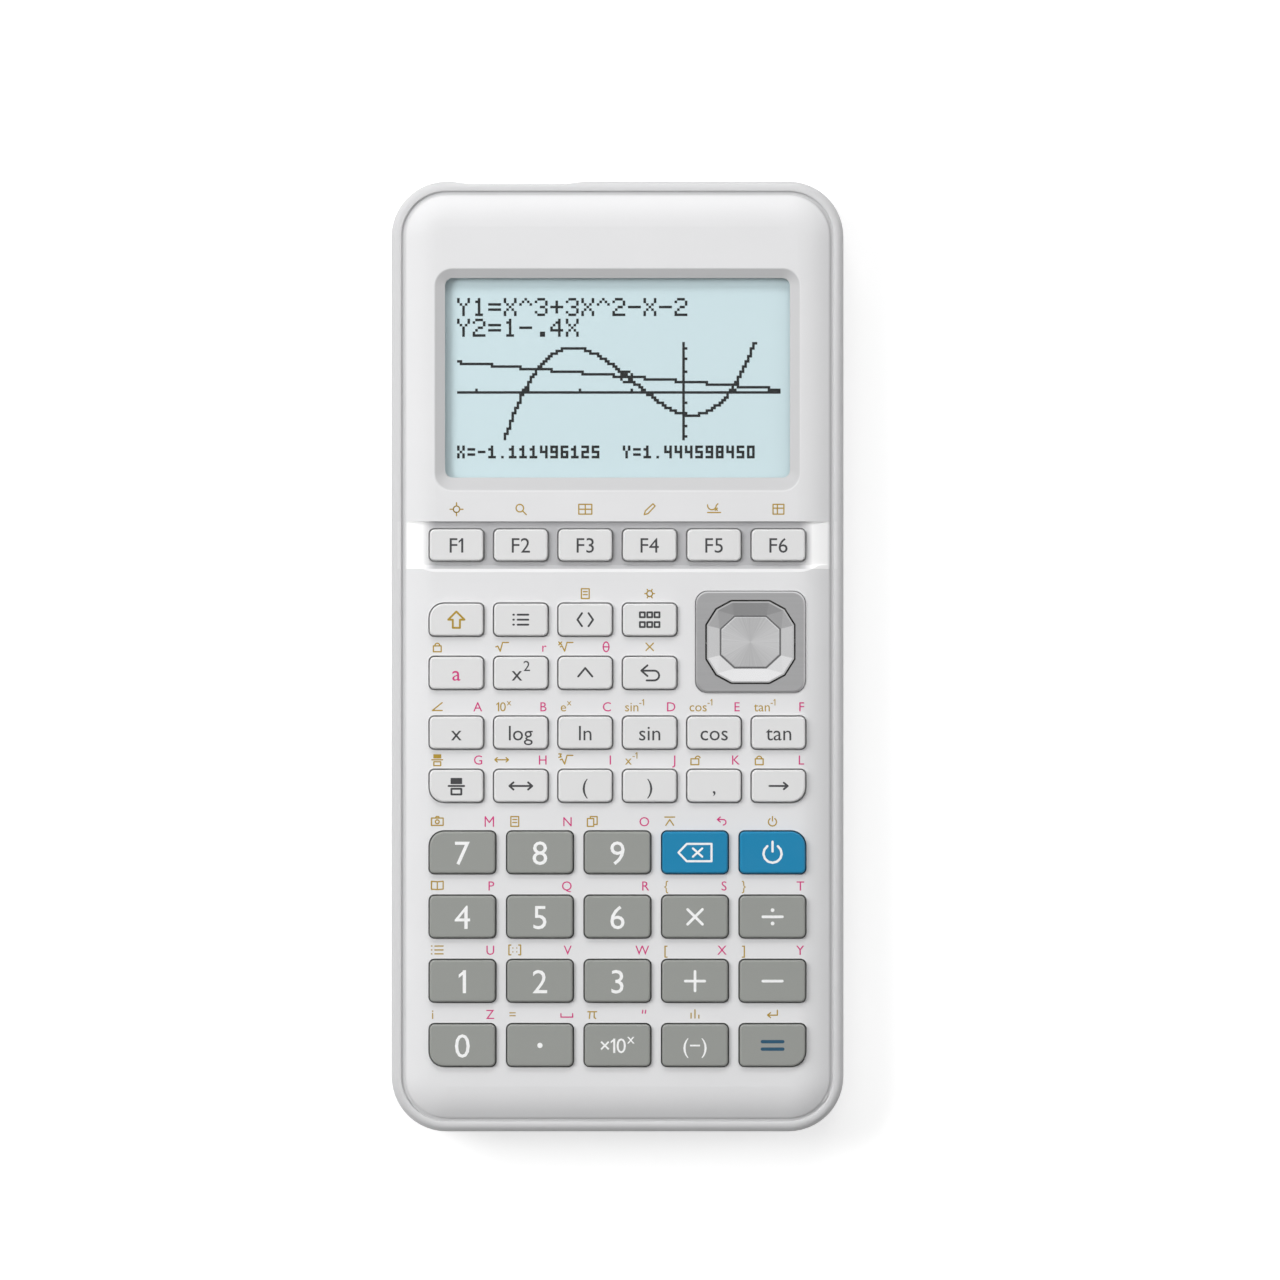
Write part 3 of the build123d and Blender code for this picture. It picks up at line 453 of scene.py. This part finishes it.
def letters(run):
    """The mesh of a run of letters one unit high, and how far it reaches."""
    if run not in letter_store:
        curve = bpy.data.curves.new("letters", "FONT")
        curve.body = run
        curve.resolution_u = 3
        held = bpy.data.objects.new("letters", curve)
        bpy.context.scene.collection.objects.link(held)
        bpy.context.view_layer.update()
        flat = bpy.data.meshes.new_from_object(held)
        left = min(v.co.x for v in flat.vertices)
        points = [(v.co.x - left, v.co.y, PRINT_DEPTH) for v in flat.vertices]
        faces = [list(face.vertices) for face in flat.polygons]
        count = len(points)
        edges = {(a, b) for face in faces for a, b in zip(face, face[1:] + face[:1])}
        rims = sorted((a, b) for a, b in edges if (b, a) not in edges)
        points += [(px, py, 0.0) for px, py, _ in points]
        faces += [[count + index for index in reversed(face)] for face in faces]
        faces += [[b, a, count + a, count + b] for a, b in rims]
        if run == "1":
            points, faces = add_flag(points, faces)
        advance = max(point[0] for point in points) + LETTER_GAP
        letter_store[run] = (points, faces, advance)
        bpy.data.objects.remove(held)
        bpy.data.meshes.remove(flat)
        bpy.data.curves.remove(curve)
    return letter_store[run]


# ---------------------------------------------------------------- pictograms
def arc(cx, cy, radius, start, end, steps=10):
    """Points along an arc, angles in degrees."""
    turns = [math.radians(start + (end - start) * step / steps) for step in range(steps + 1)]
    return [(cx + radius * math.cos(turn), cy + radius * math.sin(turn)) for turn in turns]


def ring(cx, cy, radius, steps):
    return arc(cx, cy, radius, 0, 360, steps)


def rectangle(x0, y0, x1, y1):
    return [(x0, y0), (x1, y0), (x1, y1), (x0, y1), (x0, y0)]


def across(y, x0, x1):
    return [(x0, y), (x1, y)]


def upright(x, y0, y1):
    return [(x, y0), (x, y1)]


def crossed(cx, cy, half_x, half_y):
    """Two strokes that cross."""
    left, right, low, high = cx - half_x, cx + half_x, cy - half_y, cy + half_y
    return [[(left, high), (right, low)], [(left, low), (right, high)]]


def mirrored(stroke):
    """A stroke and its mirror image."""
    return [stroke, [(-x, y) for x, y in stroke]]


RADICAL = [(-0.6, 0), (-0.4, 0.08), (-0.15, -0.45), (0.1, 0.45), (0.7, 0.45)]
TEETH = [math.radians(60 * tooth) for tooth in range(6)]

# Polylines about the pictogram's middle, in units of its height.
PICTOGRAMS = {
    "up_arrow": [
        [(0, 0.5), (0.5, 0), (0.22, 0), (0.22, -0.5), (-0.22, -0.5), (-0.22, 0), (-0.5, 0), (0, 0.5)],
    ],
    "list": [across(y, -0.6, -0.55) for y in (0.4, 0, -0.4)] + [across(y, -0.25, 0.6) for y in (0.4, 0, -0.4)],
    "grid": [rectangle(x, y, x + 0.3, y + 0.3) for x in (-0.6, -0.15, 0.3) for y in (-0.45, 0.15)],
    "back": [
        [(-0.15, 0.5), (-0.55, 0.15), (-0.15, -0.2)],
        [(-0.55, 0.15), (0.3, 0.15)] + arc(0.3, -0.17, 0.32, 90, -90) + [(-0.2, -0.49)],
    ],
    "wedge": [[(-0.5, -0.25), (0, 0.35), (0.5, -0.25)]],
    "both_ways": [across(0, -0.7, 0.7)] + mirrored([(-0.45, 0.22), (-0.7, 0), (-0.45, -0.22)]),
    "right_arrow": [across(0, -0.7, 0.7), [(0.4, 0.25), (0.7, 0), (0.4, -0.25)]],
    "fraction": [
        *[across(0.1 * tenths, -0.35, 0.35) for tenths in (2, 3, 4, 5)],
        across(0, -0.55, 0.55),
        rectangle(-0.35, -0.6, 0.35, -0.2),
    ],
    "rub_out": [
        [(-0.8, 0), (-0.4, 0.42), (0.8, 0.42), (0.8, -0.42), (-0.4, -0.42), (-0.8, 0)],
        *crossed(0.125, 0, 0.225, 0.2),
    ],
    "power": [arc(0, -0.05, 0.42, 125, 415), upright(0, 0.5, 0.05)],
    "lens": [ring(-0.1, 0.1, 0.35, 14), [(0.15, -0.15), (0.5, -0.5)]],
    "cross_hair": [
        ring(0, 0, 0.3, 12),
        across(0, -0.6, -0.3),
        across(0, 0.3, 0.6),
        upright(0, -0.6, -0.3),
        upright(0, 0.3, 0.6),
    ],
    "frame": [rectangle(-0.6, -0.45, 0.6, 0.45), across(0, -0.6, 0.6), upright(0, -0.45, 0.45)],
    "pencil": [[(-0.5, -0.5), (-0.4, -0.15), (0.3, 0.5), (0.5, 0.3), (-0.15, -0.4), (-0.5, -0.5)]],
    "curve": [
        [(-0.6, 0.4)] + arc(-0.2, 0.35, 0.4, 180, 360, 8) + [(0.35, 0.5)],
        across(-0.3, -0.6, 0.6),
        *crossed(0.2, 0, 0.1, 0.1),
    ],
    "table": [rectangle(-0.5, -0.45, 0.5, 0.45), across(0.1, -0.5, 0.5), upright(-0.1, 0.45, -0.45)],
    "braces": mirrored([(-0.25, 0.5), (-0.6, 0), (-0.25, -0.5)]),
    "gear": [
        ring(0, 0, 0.3, 12),
        *[[(0.3 * math.cos(a), 0.3 * math.sin(a)), (0.5 * math.cos(a), 0.5 * math.sin(a))] for a in TEETH],
    ],
    "lock": [rectangle(-0.4, -0.5, 0.4, 0.1), arc(0, 0.12, 0.25, 0, 180, 8)],
    "open_lock": [rectangle(-0.4, -0.5, 0.4, 0.1), arc(0.3, 0.12, 0.25, 20, 180, 8)],
    "root": [RADICAL],
    "power_root": [RADICAL, *crossed(-0.6, 0.35, 0.15, 0.15)],
    "cube_root": [RADICAL, [(-0.75, 0.6), (-0.5, 0.6), (-0.6, 0.42), (-0.5, 0.3), (-0.75, 0.25)]],
    "angle": [[(0.5, 0.4), (-0.5, -0.4), (0.5, -0.4)]],
    "camera": [
        rectangle(-0.6, -0.4, 0.6, 0.35),
        ring(0, -0.03, 0.2, 10),
        [(-0.2, 0.35), (-0.1, 0.5), (0.15, 0.5), (0.2, 0.35)],
    ],
    "sheet": [rectangle(-0.4, -0.5, 0.4, 0.5), across(0.2, -0.2, 0.2), across(-0.1, -0.2, 0.2)],
    "two_sheets": [
        rectangle(-0.5, -0.5, 0.15, 0.3),
        [(-0.2, 0.3), (-0.2, 0.5), (0.5, 0.5), (0.5, -0.3), (0.15, -0.3)],
    ],
    "book": [
        [(0, -0.4), (0, 0.4), (-0.6, 0.45), (-0.6, -0.35), (0, -0.4), (0.6, -0.35), (0.6, 0.45), (0, 0.4)],
    ],
    "matrix": [
        *mirrored([(-0.4, 0.5), (-0.6, 0.5), (-0.6, -0.5), (-0.4, -0.5)]),
        *[across(y, x, x + 0.01) for x in (-0.2, 0.2) for y in (-0.2, 0.2)],
    ],
    "enter": [[(0.5, 0.4), (0.5, -0.1), (-0.5, -0.1)], [(-0.2, 0.15), (-0.5, -0.1), (-0.2, -0.35)]],
    "insert": [[(-0.4, -0.4), (0, 0.2), (0.4, -0.4)], across(0.45, -0.5, 0.5)],
    "undo": [
        [(-0.15, 0.45), (-0.45, 0.2), (-0.15, -0.05)],
        [(-0.45, 0.2), (0.15, 0.2)] + arc(0.15, -0.08, 0.28, 90, -90, 8),
    ],
    "space": [[(-0.6, 0.05), (-0.6, -0.3), (0.6, -0.3), (0.6, 0.05)]],
    "bars": [upright(-0.4, -0.4, 0.1), upright(0, -0.4, 0.45), upright(0.4, -0.4, -0.1)],
    "minus": [across(0, -0.5, 0.5)],
    "plus": [across(0, -0.5, 0.5), upright(0, -0.5, 0.5)],
    "times": crossed(0, 0, 0.38, 0.38),
    "divide": [across(0, -0.5, 0.5), ring(0, 0.34, 0.03, 6), ring(0, -0.34, 0.03, 6)],
    "point": [ring(0, 0, 0.07, 8)],
    "letter_m": [[(-0.42, -0.5), (-0.42, 0.48), (0, -0.1), (0.42, 0.48), (0.42, -0.5)]],
    "theta": [[(0.3 * px, 0.5 * py) for px, py in ring(0, 0, 1, 14)], across(0, -0.3, 0.3)],
    "pi": [
        across(0.25, -0.45, 0.45),
        [(-0.22, 0.25), (-0.3, -0.45)],
        [(0.2, 0.25), (0.2, -0.35), (0.35, -0.45)],
    ],
    "quote": [[(-0.15, 0.4), (-0.2, 0.1)], [(0.15, 0.4), (0.1, 0.1)]],
    "equals": [across(0.18, -0.5, 0.5), across(-0.18, -0.5, 0.5)],
}


# ---------------------------------------------------------------- signs on the keys
SMALL_TEXT, LARGE_TEXT = 3.9, 6.2
THIN, BROAD = 0.36, 0.62
SIGN_WIDTH = 0.8 * BROAD


def key_face(node):
    """The middle and the height of a key's top."""
    low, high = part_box(node)
    return (low.x + high.x) / 2, (low.y + high.y) / 2, high.z


def key_text(key, words, size, shader, slot):
    printed = Print(f"legend_{key}", f"key_{key}", shader, slot)
    printed.text(words, *key_face(f"key_{key}"), size * MM)
    printed.make()


def key_sign(key, sign, size, shader, width, slot):
    printed = Print(f"legend_{key}", f"key_{key}", shader, slot)
    printed.strokes(PICTOGRAMS[sign], *key_face(f"key_{key}"), size * MM, width * MM)
    printed.make()


SMALL_WORDS = {
    "square": "x^2",
    "variable": "x",
    "log": "log",
    "ln": "ln",
    "sin": "sin",
    "cos": "cos",
    "tan": "tan",
    "open_bracket": "(",
    "close_bracket": ")",
    "comma": ",",
}
SMALL_SIGNS = {
    "options": ("list", 2.3),
    "variables": ("braces", 2.4),
    "menu": ("grid", 3.0),
    "exit": ("back", 2.8),
    "power": ("wedge", 2.6),
    "fraction": ("fraction", 2.6),
    "convert": ("both_ways", 3.0),
    "arrow": ("right_arrow", 2.4),
}
LARGE_SIGNS = {"multiply": "times", "divide": "divide", "plus": "plus", "minus": "minus", "decimal": "point"}
for number in range(1, 7):
    key_text(f"f{number}", f"F{number}", SMALL_TEXT, DARK, "key_pale")
for key, words in SMALL_WORDS.items():
    key_text(key, words, SMALL_TEXT, DARK, "key_pale")
key_text("alpha", "a", SMALL_TEXT, MAGENTA, "key_pale")
key_sign("shift", "up_arrow", 3.0, GOLD, THIN, "key_pale")
for key, (sign, size) in SMALL_SIGNS.items():
    key_sign(key, sign, size, DARK, THIN, "key_pale")
for digit in "0123456789":
    key_text(digit, digit, LARGE_TEXT, WHITE, "key_grey")
for key, sign in LARGE_SIGNS.items():
    key_sign(key, sign, 3.6, WHITE, SIGN_WIDTH, "key_grey")
key_text("exponent", "×10^x", SMALL_TEXT, WHITE, "key_grey")
key_text("negative", "(−)", SMALL_TEXT, WHITE, "key_grey")
key_sign("execute", "equals", 3.8, NAVY, BROAD, "key_grey")
key_sign("delete", "rub_out", 3.8, WHITE, 0.38, "key_blue")
key_sign("clear", "power", 4.0, WHITE, 0.42, "key_blue")


# ---------------------------------------------------------------- small legends printed on the case
gold_print = Print("legends_gold", "case", GOLD, "case_plastic")
magenta_print = Print("legends_magenta", "case", MAGENTA, "case_plastic")
LEGEND, LEGEND_SIGN, LEGEND_WIDTH = 2.45 * MM, 1.8 * MM, 0.23 * MM
LEGEND_LIFT = 1.85 * MM  # legend's middle above the key's edge
INSET_LEFT, INSET_RIGHT = 0.4 * MM, 0.2 * MM
F_SIGN, F_LIFT = 2.0 * MM, 6.6 * MM  # the signs above the function keys, from the keys' middle


def legend(key, gold=None, magenta=None, gold_sign=None, magenta_sign=None, middle=False):
    """The second meanings above a key: gold at its left and magenta at its right."""
    low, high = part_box(f"key_{key}")
    y = high.y - FLANGE + LEGEND_LIFT
    left, right = low.x + FLANGE + INSET_LEFT, high.x - FLANGE - INSET_RIGHT
    centre = (low.x + high.x) / 2
    if gold:
        gold_print.text(gold, left, y, PLATE_TOP, LEGEND, -1)
    if gold_sign:
        x = centre if middle else left + 0.55 * LEGEND_SIGN
        gold_print.strokes(PICTOGRAMS[gold_sign], x, y, PLATE_TOP, LEGEND_SIGN, LEGEND_WIDTH)
    if magenta:
        magenta_print.text(magenta, right, y, PLATE_TOP, LEGEND, 1)
    if magenta_sign:
        x = right - 0.5 * LEGEND_SIGN
        magenta_print.strokes(PICTOGRAMS[magenta_sign], x, y, PLATE_TOP, LEGEND_SIGN, LEGEND_WIDTH)


for number, sign in enumerate(("cross_hair", "lens", "frame", "pencil", "curve", "table"), 1):
    x, y, _ = key_face(f"key_f{number}")
    gold_print.strokes(PICTOGRAMS[sign], x, y + F_LIFT, PLATE_TOP, F_SIGN, LEGEND_WIDTH)
legend("variables", gold_sign="sheet", middle=True)
legend("menu", gold_sign="gear", middle=True)
legend("alpha", gold_sign="lock")
legend("square", gold_sign="root", magenta="r")
legend("power", gold_sign="power_root", magenta_sign="theta")
legend("exit", gold_sign="times", middle=True)
legend("variable", gold_sign="angle", magenta="A")
legend("log", gold="10^x", magenta="B")
legend("ln", gold="e^x", magenta="C")
legend("sin", gold="sin^-1", magenta="D")
legend("cos", gold="cos^-1", magenta="E")
legend("tan", gold="tan^-1", magenta="F")
legend("fraction", gold_sign="fraction", magenta="G")
legend("convert", gold_sign="both_ways", magenta="H")
legend("open_bracket", gold_sign="cube_root", magenta="I")
legend("close_bracket", gold="x^-1", magenta="J")
legend("comma", gold_sign="open_lock", magenta="K")
legend("arrow", gold_sign="lock", magenta="L")
legend("7", gold_sign="camera", magenta_sign="letter_m")
legend("8", gold_sign="sheet", magenta="N")
legend("9", gold_sign="two_sheets", magenta="O")
legend("delete", gold_sign="insert", magenta_sign="undo")
legend("clear", gold_sign="power", middle=True)
legend("4", gold_sign="book", magenta="P")
legend("5", magenta="Q")
legend("6", magenta="R")
legend("multiply", gold="{", magenta="S")
legend("divide", gold="}", magenta="T")
legend("1", gold_sign="list", magenta="U")
legend("2", gold_sign="matrix", magenta="V")
legend("3", magenta="W")
legend("plus", gold="[", magenta="X")
legend("minus", gold="]", magenta="Y")
legend("0", gold="i", magenta="Z")
legend("decimal", gold="=", magenta_sign="space")
legend("exponent", gold_sign="pi", magenta_sign="quote")
legend("negative", gold_sign="bars", middle=True)
legend("execute", gold_sign="enter", middle=True)
gold_print.make()
magenta_print.make()


# ---------------------------------------------------------------- the screen's dots
DOT_FONT = {
    "Y": "10001 10001 01010 00100 00100 00100 00100",
    "X": "10001 10001 01010 00100 01010 10001 10001",
    "=": "00000 00000 11111 00000 11111 00000 00000",
    "+": "00000 00100 00100 11111 00100 00100 00000",
    "-": "00000 00000 00000 11111 00000 00000 00000",
    "^": "00100 01010 10001 00000 00000 00000 00000",
    ".": "00000 00000 00000 00000 00000 00110 00110",
    "0": "01110 10001 10011 10101 11001 10001 01110",
    "1": "00100 01100 00100 00100 00100 00100 01110",
    "2": "01110 10001 00001 00110 01000 10000 11111",
    "3": "01110 10001 00001 00110 00001 10001 01110",
    "4": "00010 00110 01010 10010 11111 00010 00010",
    "5": "11111 10000 11110 00001 00001 10001 01110",
    "6": "01110 10000 10000 11110 10001 10001 01110",
    "7": "11111 00001 00010 00100 00100 00100 00100",
    "8": "01110 10001 10001 01110 10001 10001 01110",
    "9": "01110 10001 10001 01111 00001 00001 01110",
}
SMALL_FONT = {
    "0": "111 101 101 101 111",
    "1": "010 110 010 010 111",
    "2": "111 001 111 100 111",
    "3": "111 001 111 001 111",
    "4": "101 101 111 001 001",
    "5": "111 100 111 001 111",
    "6": "111 100 111 101 111",
    "7": "111 001 001 010 010",
    "8": "111 101 111 101 111",
    "9": "111 101 111 001 111",
    "X": "101 101 010 101 101",
    "Y": "101 101 010 010 010",
    "=": "000 111 000 111 000",
    "-": "000 000 111 000 000",
    ".": "000 000 000 000 010",
}
# rows and columns of dots, counted from the top left
LINE_LEFT, LINE_ROWS = 2, (1, 9)
READOUT_ROW, READOUT_COLUMNS = 58, (2, 66)
GRAPH_LEFT, GRAPH_RIGHT, GRAPH_TOP, GRAPH_BOTTOM = 2, 127, 18, 56
AXIS_ROW, AXIS_COLUMN = 37, 89
UNIT_COLUMNS, UNIT_ROWS = 20.0, 4.2


def cubic(x):
    return x**3 + 3 * x**2 - x - 2


def line(x):
    return 1 - 0.4 * x


def write_dots(lit, words, column, row, font):
    """Lights a line of dot letters from a top left dot."""
    for letter in words:
        lines = font[letter].split()
        for down, bits in enumerate(lines):
            for right, bit in enumerate(bits):
                if bit == "1":
                    lit.add((column + right, row + down))
        column += len(lines[0]) + 1


def graph_row(height):
    return round(AXIS_ROW - height * UNIT_ROWS)


def plot(lit, function):
    """Lights a graph column by column, filling steep stretches."""
    before = None
    for column in range(GRAPH_LEFT, GRAPH_RIGHT):
        row = graph_row(function((column - AXIS_COLUMN) / UNIT_COLUMNS))
        low, high = (row, row) if before is None else sorted((before, row))
        if high - low > 1 and before == low:
            low += 1
        for filled in range(max(low, GRAPH_TOP), min(high + 1, GRAPH_BOTTOM)):
            lit.add((column, filled))
        before = row


def crossing():
    """Where the two graphs meet, by halving."""
    low, high = -1.5, -1.0
    for _ in range(60):
        middle = (low + high) / 2
        if (cubic(low) - line(low)) * (cubic(middle) - line(middle)) <= 0:
            high = middle
        else:
            low = middle
    return (low + high) / 2


lit = set()
write_dots(lit, "Y1=X^3+3X^2-X-2", LINE_LEFT, LINE_ROWS[0], DOT_FONT)
write_dots(lit, "Y2=1-.4X", LINE_LEFT, LINE_ROWS[1], DOT_FONT)
for column in range(GRAPH_LEFT, GRAPH_RIGHT):
    lit.add((column, AXIS_ROW))
for row in range(GRAPH_TOP, GRAPH_BOTTOM):
    lit.add((AXIS_COLUMN, row))
for step in range(-4, 5):
    lit.add((AXIS_COLUMN + 1, graph_row(step)))
for step in range(-4, 2):
    lit.add((round(AXIS_COLUMN + step * UNIT_COLUMNS), AXIS_ROW - 1))
plot(lit, cubic)
plot(lit, line)
meet = crossing()
meet_column, meet_row = round(AXIS_COLUMN + meet * UNIT_COLUMNS), graph_row(line(meet))
for far in (-2, 2):
    for near in (-1, 0, 1):
        lit.add((meet_column + far, meet_row + near))
        lit.add((meet_column + near, meet_row + far))
write_dots(lit, f"X={meet:.9f}", READOUT_COLUMNS[0], READOUT_ROW, SMALL_FONT)
write_dots(lit, f"Y={line(meet):.9f}", READOUT_COLUMNS[1], READOUT_ROW, SMALL_FONT)

corner_x = (lcd_low.x + lcd_high.x) / 2 - DOT_COLUMNS / 2 * DOT
corner_y = (lcd_low.y + lcd_high.y) / 2 + DOT_ROWS / 2 * DOT
half_dot = Vector((DOT / 2, 0, 0))
dots = Print("screen_image", "case", BLACK, "lcd_glass")
for column, row in sorted(lit):
    middle = Vector((corner_x + (column + 0.5) * DOT, corner_y - (row + 0.5) * DOT, lcd_high.z))
    dots.bar(middle - half_dot, middle + half_dot, DOT)
dots.make()


# ---------------------------------------------------------------- cursor pad: the spun disc
pad_low, pad_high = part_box("cursor_pad")
pad_x, pad_y = (pad_low.x + pad_high.x) / 2, (pad_low.y + pad_high.y) / 2
pad_half_x, pad_half_y = (pad_high.x - pad_low.x) / 2, (pad_high.y - pad_low.y) / 2
DISH = 0.9 * MM  # depth of the pad's flat middle
FLAT_X, FLAT_Y = 0.71, 0.66  # the flat middle's share of the pad
CORNER_X, CORNER_Y = 0.53, 0.5  # where the octagon's corners are cut off
# where the painted shade line round the disc lies, as a share of the pad, and its width
GROOVE_SHADE_AT, GROOVE_SHADE_WIDTH = 0.965, 0.3 * MM
DISC_SHARE, DISC_TOP_SHARE = 0.93, 0.918
DISC_EDGE, DISC_HEIGHT = 0.10 * MM, 0.14 * MM


def octagon(share):
    x, y = FLAT_X * pad_half_x * share, FLAT_Y * pad_half_y * share
    right = [(CORNER_X * x, y), (x, CORNER_Y * y), (x, -CORNER_Y * y), (CORNER_X * x, -y)]
    return right + [(-px, -py) for px, py in right]


def stacked_rings(levels):
    """Points and faces of a closed solid from rings of the same count, bottom to top, with flat ends."""
    points = [(px, py, z) for ring_points, z in levels for px, py in ring_points]
    count = len(levels[0][0])
    faces = []
    for level in range(len(levels) - 1):
        for i in range(count):
            a, b = level * count + i, level * count + (i + 1) % count
            faces.append([b, a, a + count, b + count])
    faces.append(list(range(count)))
    faces.append([(len(levels) - 1) * count + i for i in reversed(range(count))])
    return points, faces


# painted shade: a dark line drawn as ink round the disc, where the step at its edge would be shaded
groove_shade = Print("cursor_groove_shade", "cursor_pad", ink("groove_shadow", linear(96, 96, 97)), "pad_metal")
outline = octagon(GROOVE_SHADE_AT)
groove_shade.strokes([outline + outline[:1]], pad_x, pad_y, pad_high.z - DISH, 1.0, GROOVE_SHADE_WIDTH)
groove_shade.make()
disc_levels = [
    (octagon(DISC_SHARE), 0.0),
    (octagon(DISC_SHARE), DISC_EDGE),
    (octagon(DISC_TOP_SHARE), DISC_HEIGHT),
]
disc_metal = spun_metal("disc_metal", linear(212, 212, 213))
disc = place_mesh("cursor_disc", *stacked_rings(disc_levels), disc_metal.material)
disc.location = Vector((pad_x, pad_y, pad_high.z - DISH))
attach(disc, "cursor_pad")


# ---------------------------------------------------------------- white stage
FLOOR_REACH = 3.0
FLOOR_GREY, FLOOR_GLOW = 0.6, 0.62
AMBIENT, MIRRORED = 0.2, 0.92  # strength of the surroundings as light, and as seen in the metal


def stage_floor():
    """A matt floor that keeps the shadow; its glow makes it white to the camera, but lights nothing."""
    material = bpy.data.materials.new("floor_white")
    material.use_nodes = True
    tree = material.node_tree
    tree.nodes.clear()
    output = add_node(tree, "ShaderNodeOutputMaterial")
    matt = add_node(tree, "ShaderNodeBsdfDiffuse")
    matt.inputs["Color"].default_value = (FLOOR_GREY, FLOOR_GREY, FLOOR_GREY, 1)
    path = add_node(tree, "ShaderNodeLightPath")
    seen = calculate(tree, "MAXIMUM", path.outputs["Is Camera Ray"], path.outputs["Is Glossy Ray"])
    seen = calculate(tree, "MAXIMUM", seen, path.outputs["Is Transmission Ray"])
    glow = add_node(tree, "ShaderNodeEmission")
    tree.links.new(calculate(tree, "MULTIPLY", seen, FLOOR_GLOW), glow.inputs["Strength"])
    both = add_node(tree, "ShaderNodeAddShader")
    tree.links.new(matt.outputs[0], both.inputs[0])
    tree.links.new(glow.outputs[0], both.inputs[1])
    tree.links.new(both.outputs[0], output.inputs["Surface"])
    corners = [(FLOOR_REACH * x, FLOOR_REACH * y, 0) for x, y in ((-1, -1), (1, -1), (1, 1), (-1, 1))]
    made = place_mesh("floor", corners, [[0, 1, 2, 3]], material)


def stage_world():
    """Pale surroundings, dimmer towards the near side and overhead, so that facets differ."""
    world = bpy.data.worlds.new("studio")
    bpy.context.scene.world = world
    world.use_nodes = True
    tree = world.node_tree
    background = tree.nodes["Background"]
    background.inputs["Color"].default_value = (1, 1, 1, 1)
    axes = split_axes(tree, add_node(tree, "ShaderNodeTexCoord").outputs["Generated"])
    path = add_node(tree, "ShaderNodeLightPath")
    far_side = map_range(tree, axes["Y"], -0.8, 0.8, 0.3, 1.35)
    horizon = map_range(tree, axes["Z"], 0.55, 0.95, 1.3, 1.0)
    level = map_range(tree, path.outputs["Is Glossy Ray"], 0, 1, AMBIENT, MIRRORED)
    strength = calculate(tree, "MULTIPLY", calculate(tree, "MULTIPLY", far_side, horizon), level)
    strength = calculate(tree, "MAXIMUM", strength, path.outputs["Is Camera Ray"])
    strength = calculate(tree, "MAXIMUM", strength, path.outputs["Is Transmission Ray"])
    tree.links.new(strength, background.inputs["Strength"])


def area_light(name, place, size_x, size_y, power):
    """A soft box that looks at the object's middle and isn't mirrored in the metal."""
    lamp = bpy.data.lights.new(name, "AREA")
    lamp.shape = "RECTANGLE"
    lamp.size, lamp.size_y = size_x, size_y
    lamp.energy = power
    made = bpy.data.objects.new(name, lamp)
    made.location = place
    made.visible_glossy = False
    made.rotation_euler = (-Vector(place)).to_track_quat("-Z", "Y").to_euler()
    bpy.context.scene.collection.objects.link(made)


stage_floor()
stage_world()
area_light("key_left", (-0.85, 0.30, 0.95), 0.6, 0.6, 10.8)
area_light("top_back", (0.0, 1.10, 0.85), 1.0, 0.35, 7.0)
area_light("fill_right", (0.95, 0.1, 0.8), 0.35, 0.8, 1.5)
area_light("overhead", (-0.1, 0.0, 1.7), 0.8, 0.8, 3.5)

# The camera looks straight down; one picture width covers VIEW_WIDTH at VIEW_PLANE.
VIEW_WIDTH, VIEW_PLANE = 236.9 * MM, 12 * MM
VIEW_CENTRE = (4.15 * MM, 3.05 * MM)
LENS, SENSOR = 180.0, 36.0
camera_data = bpy.data.cameras.new("camera")
camera_data.lens = LENS
camera_data.sensor_width = SENSOR
camera_data.clip_start = 0.01
camera = bpy.data.objects.new("camera", camera_data)
camera.location = (*VIEW_CENTRE, VIEW_WIDTH * LENS / SENSOR + VIEW_PLANE)
bpy.context.scene.collection.objects.link(camera)
bpy.context.scene.camera = camera
bpy.context.scene.view_settings.view_transform = "Standard"
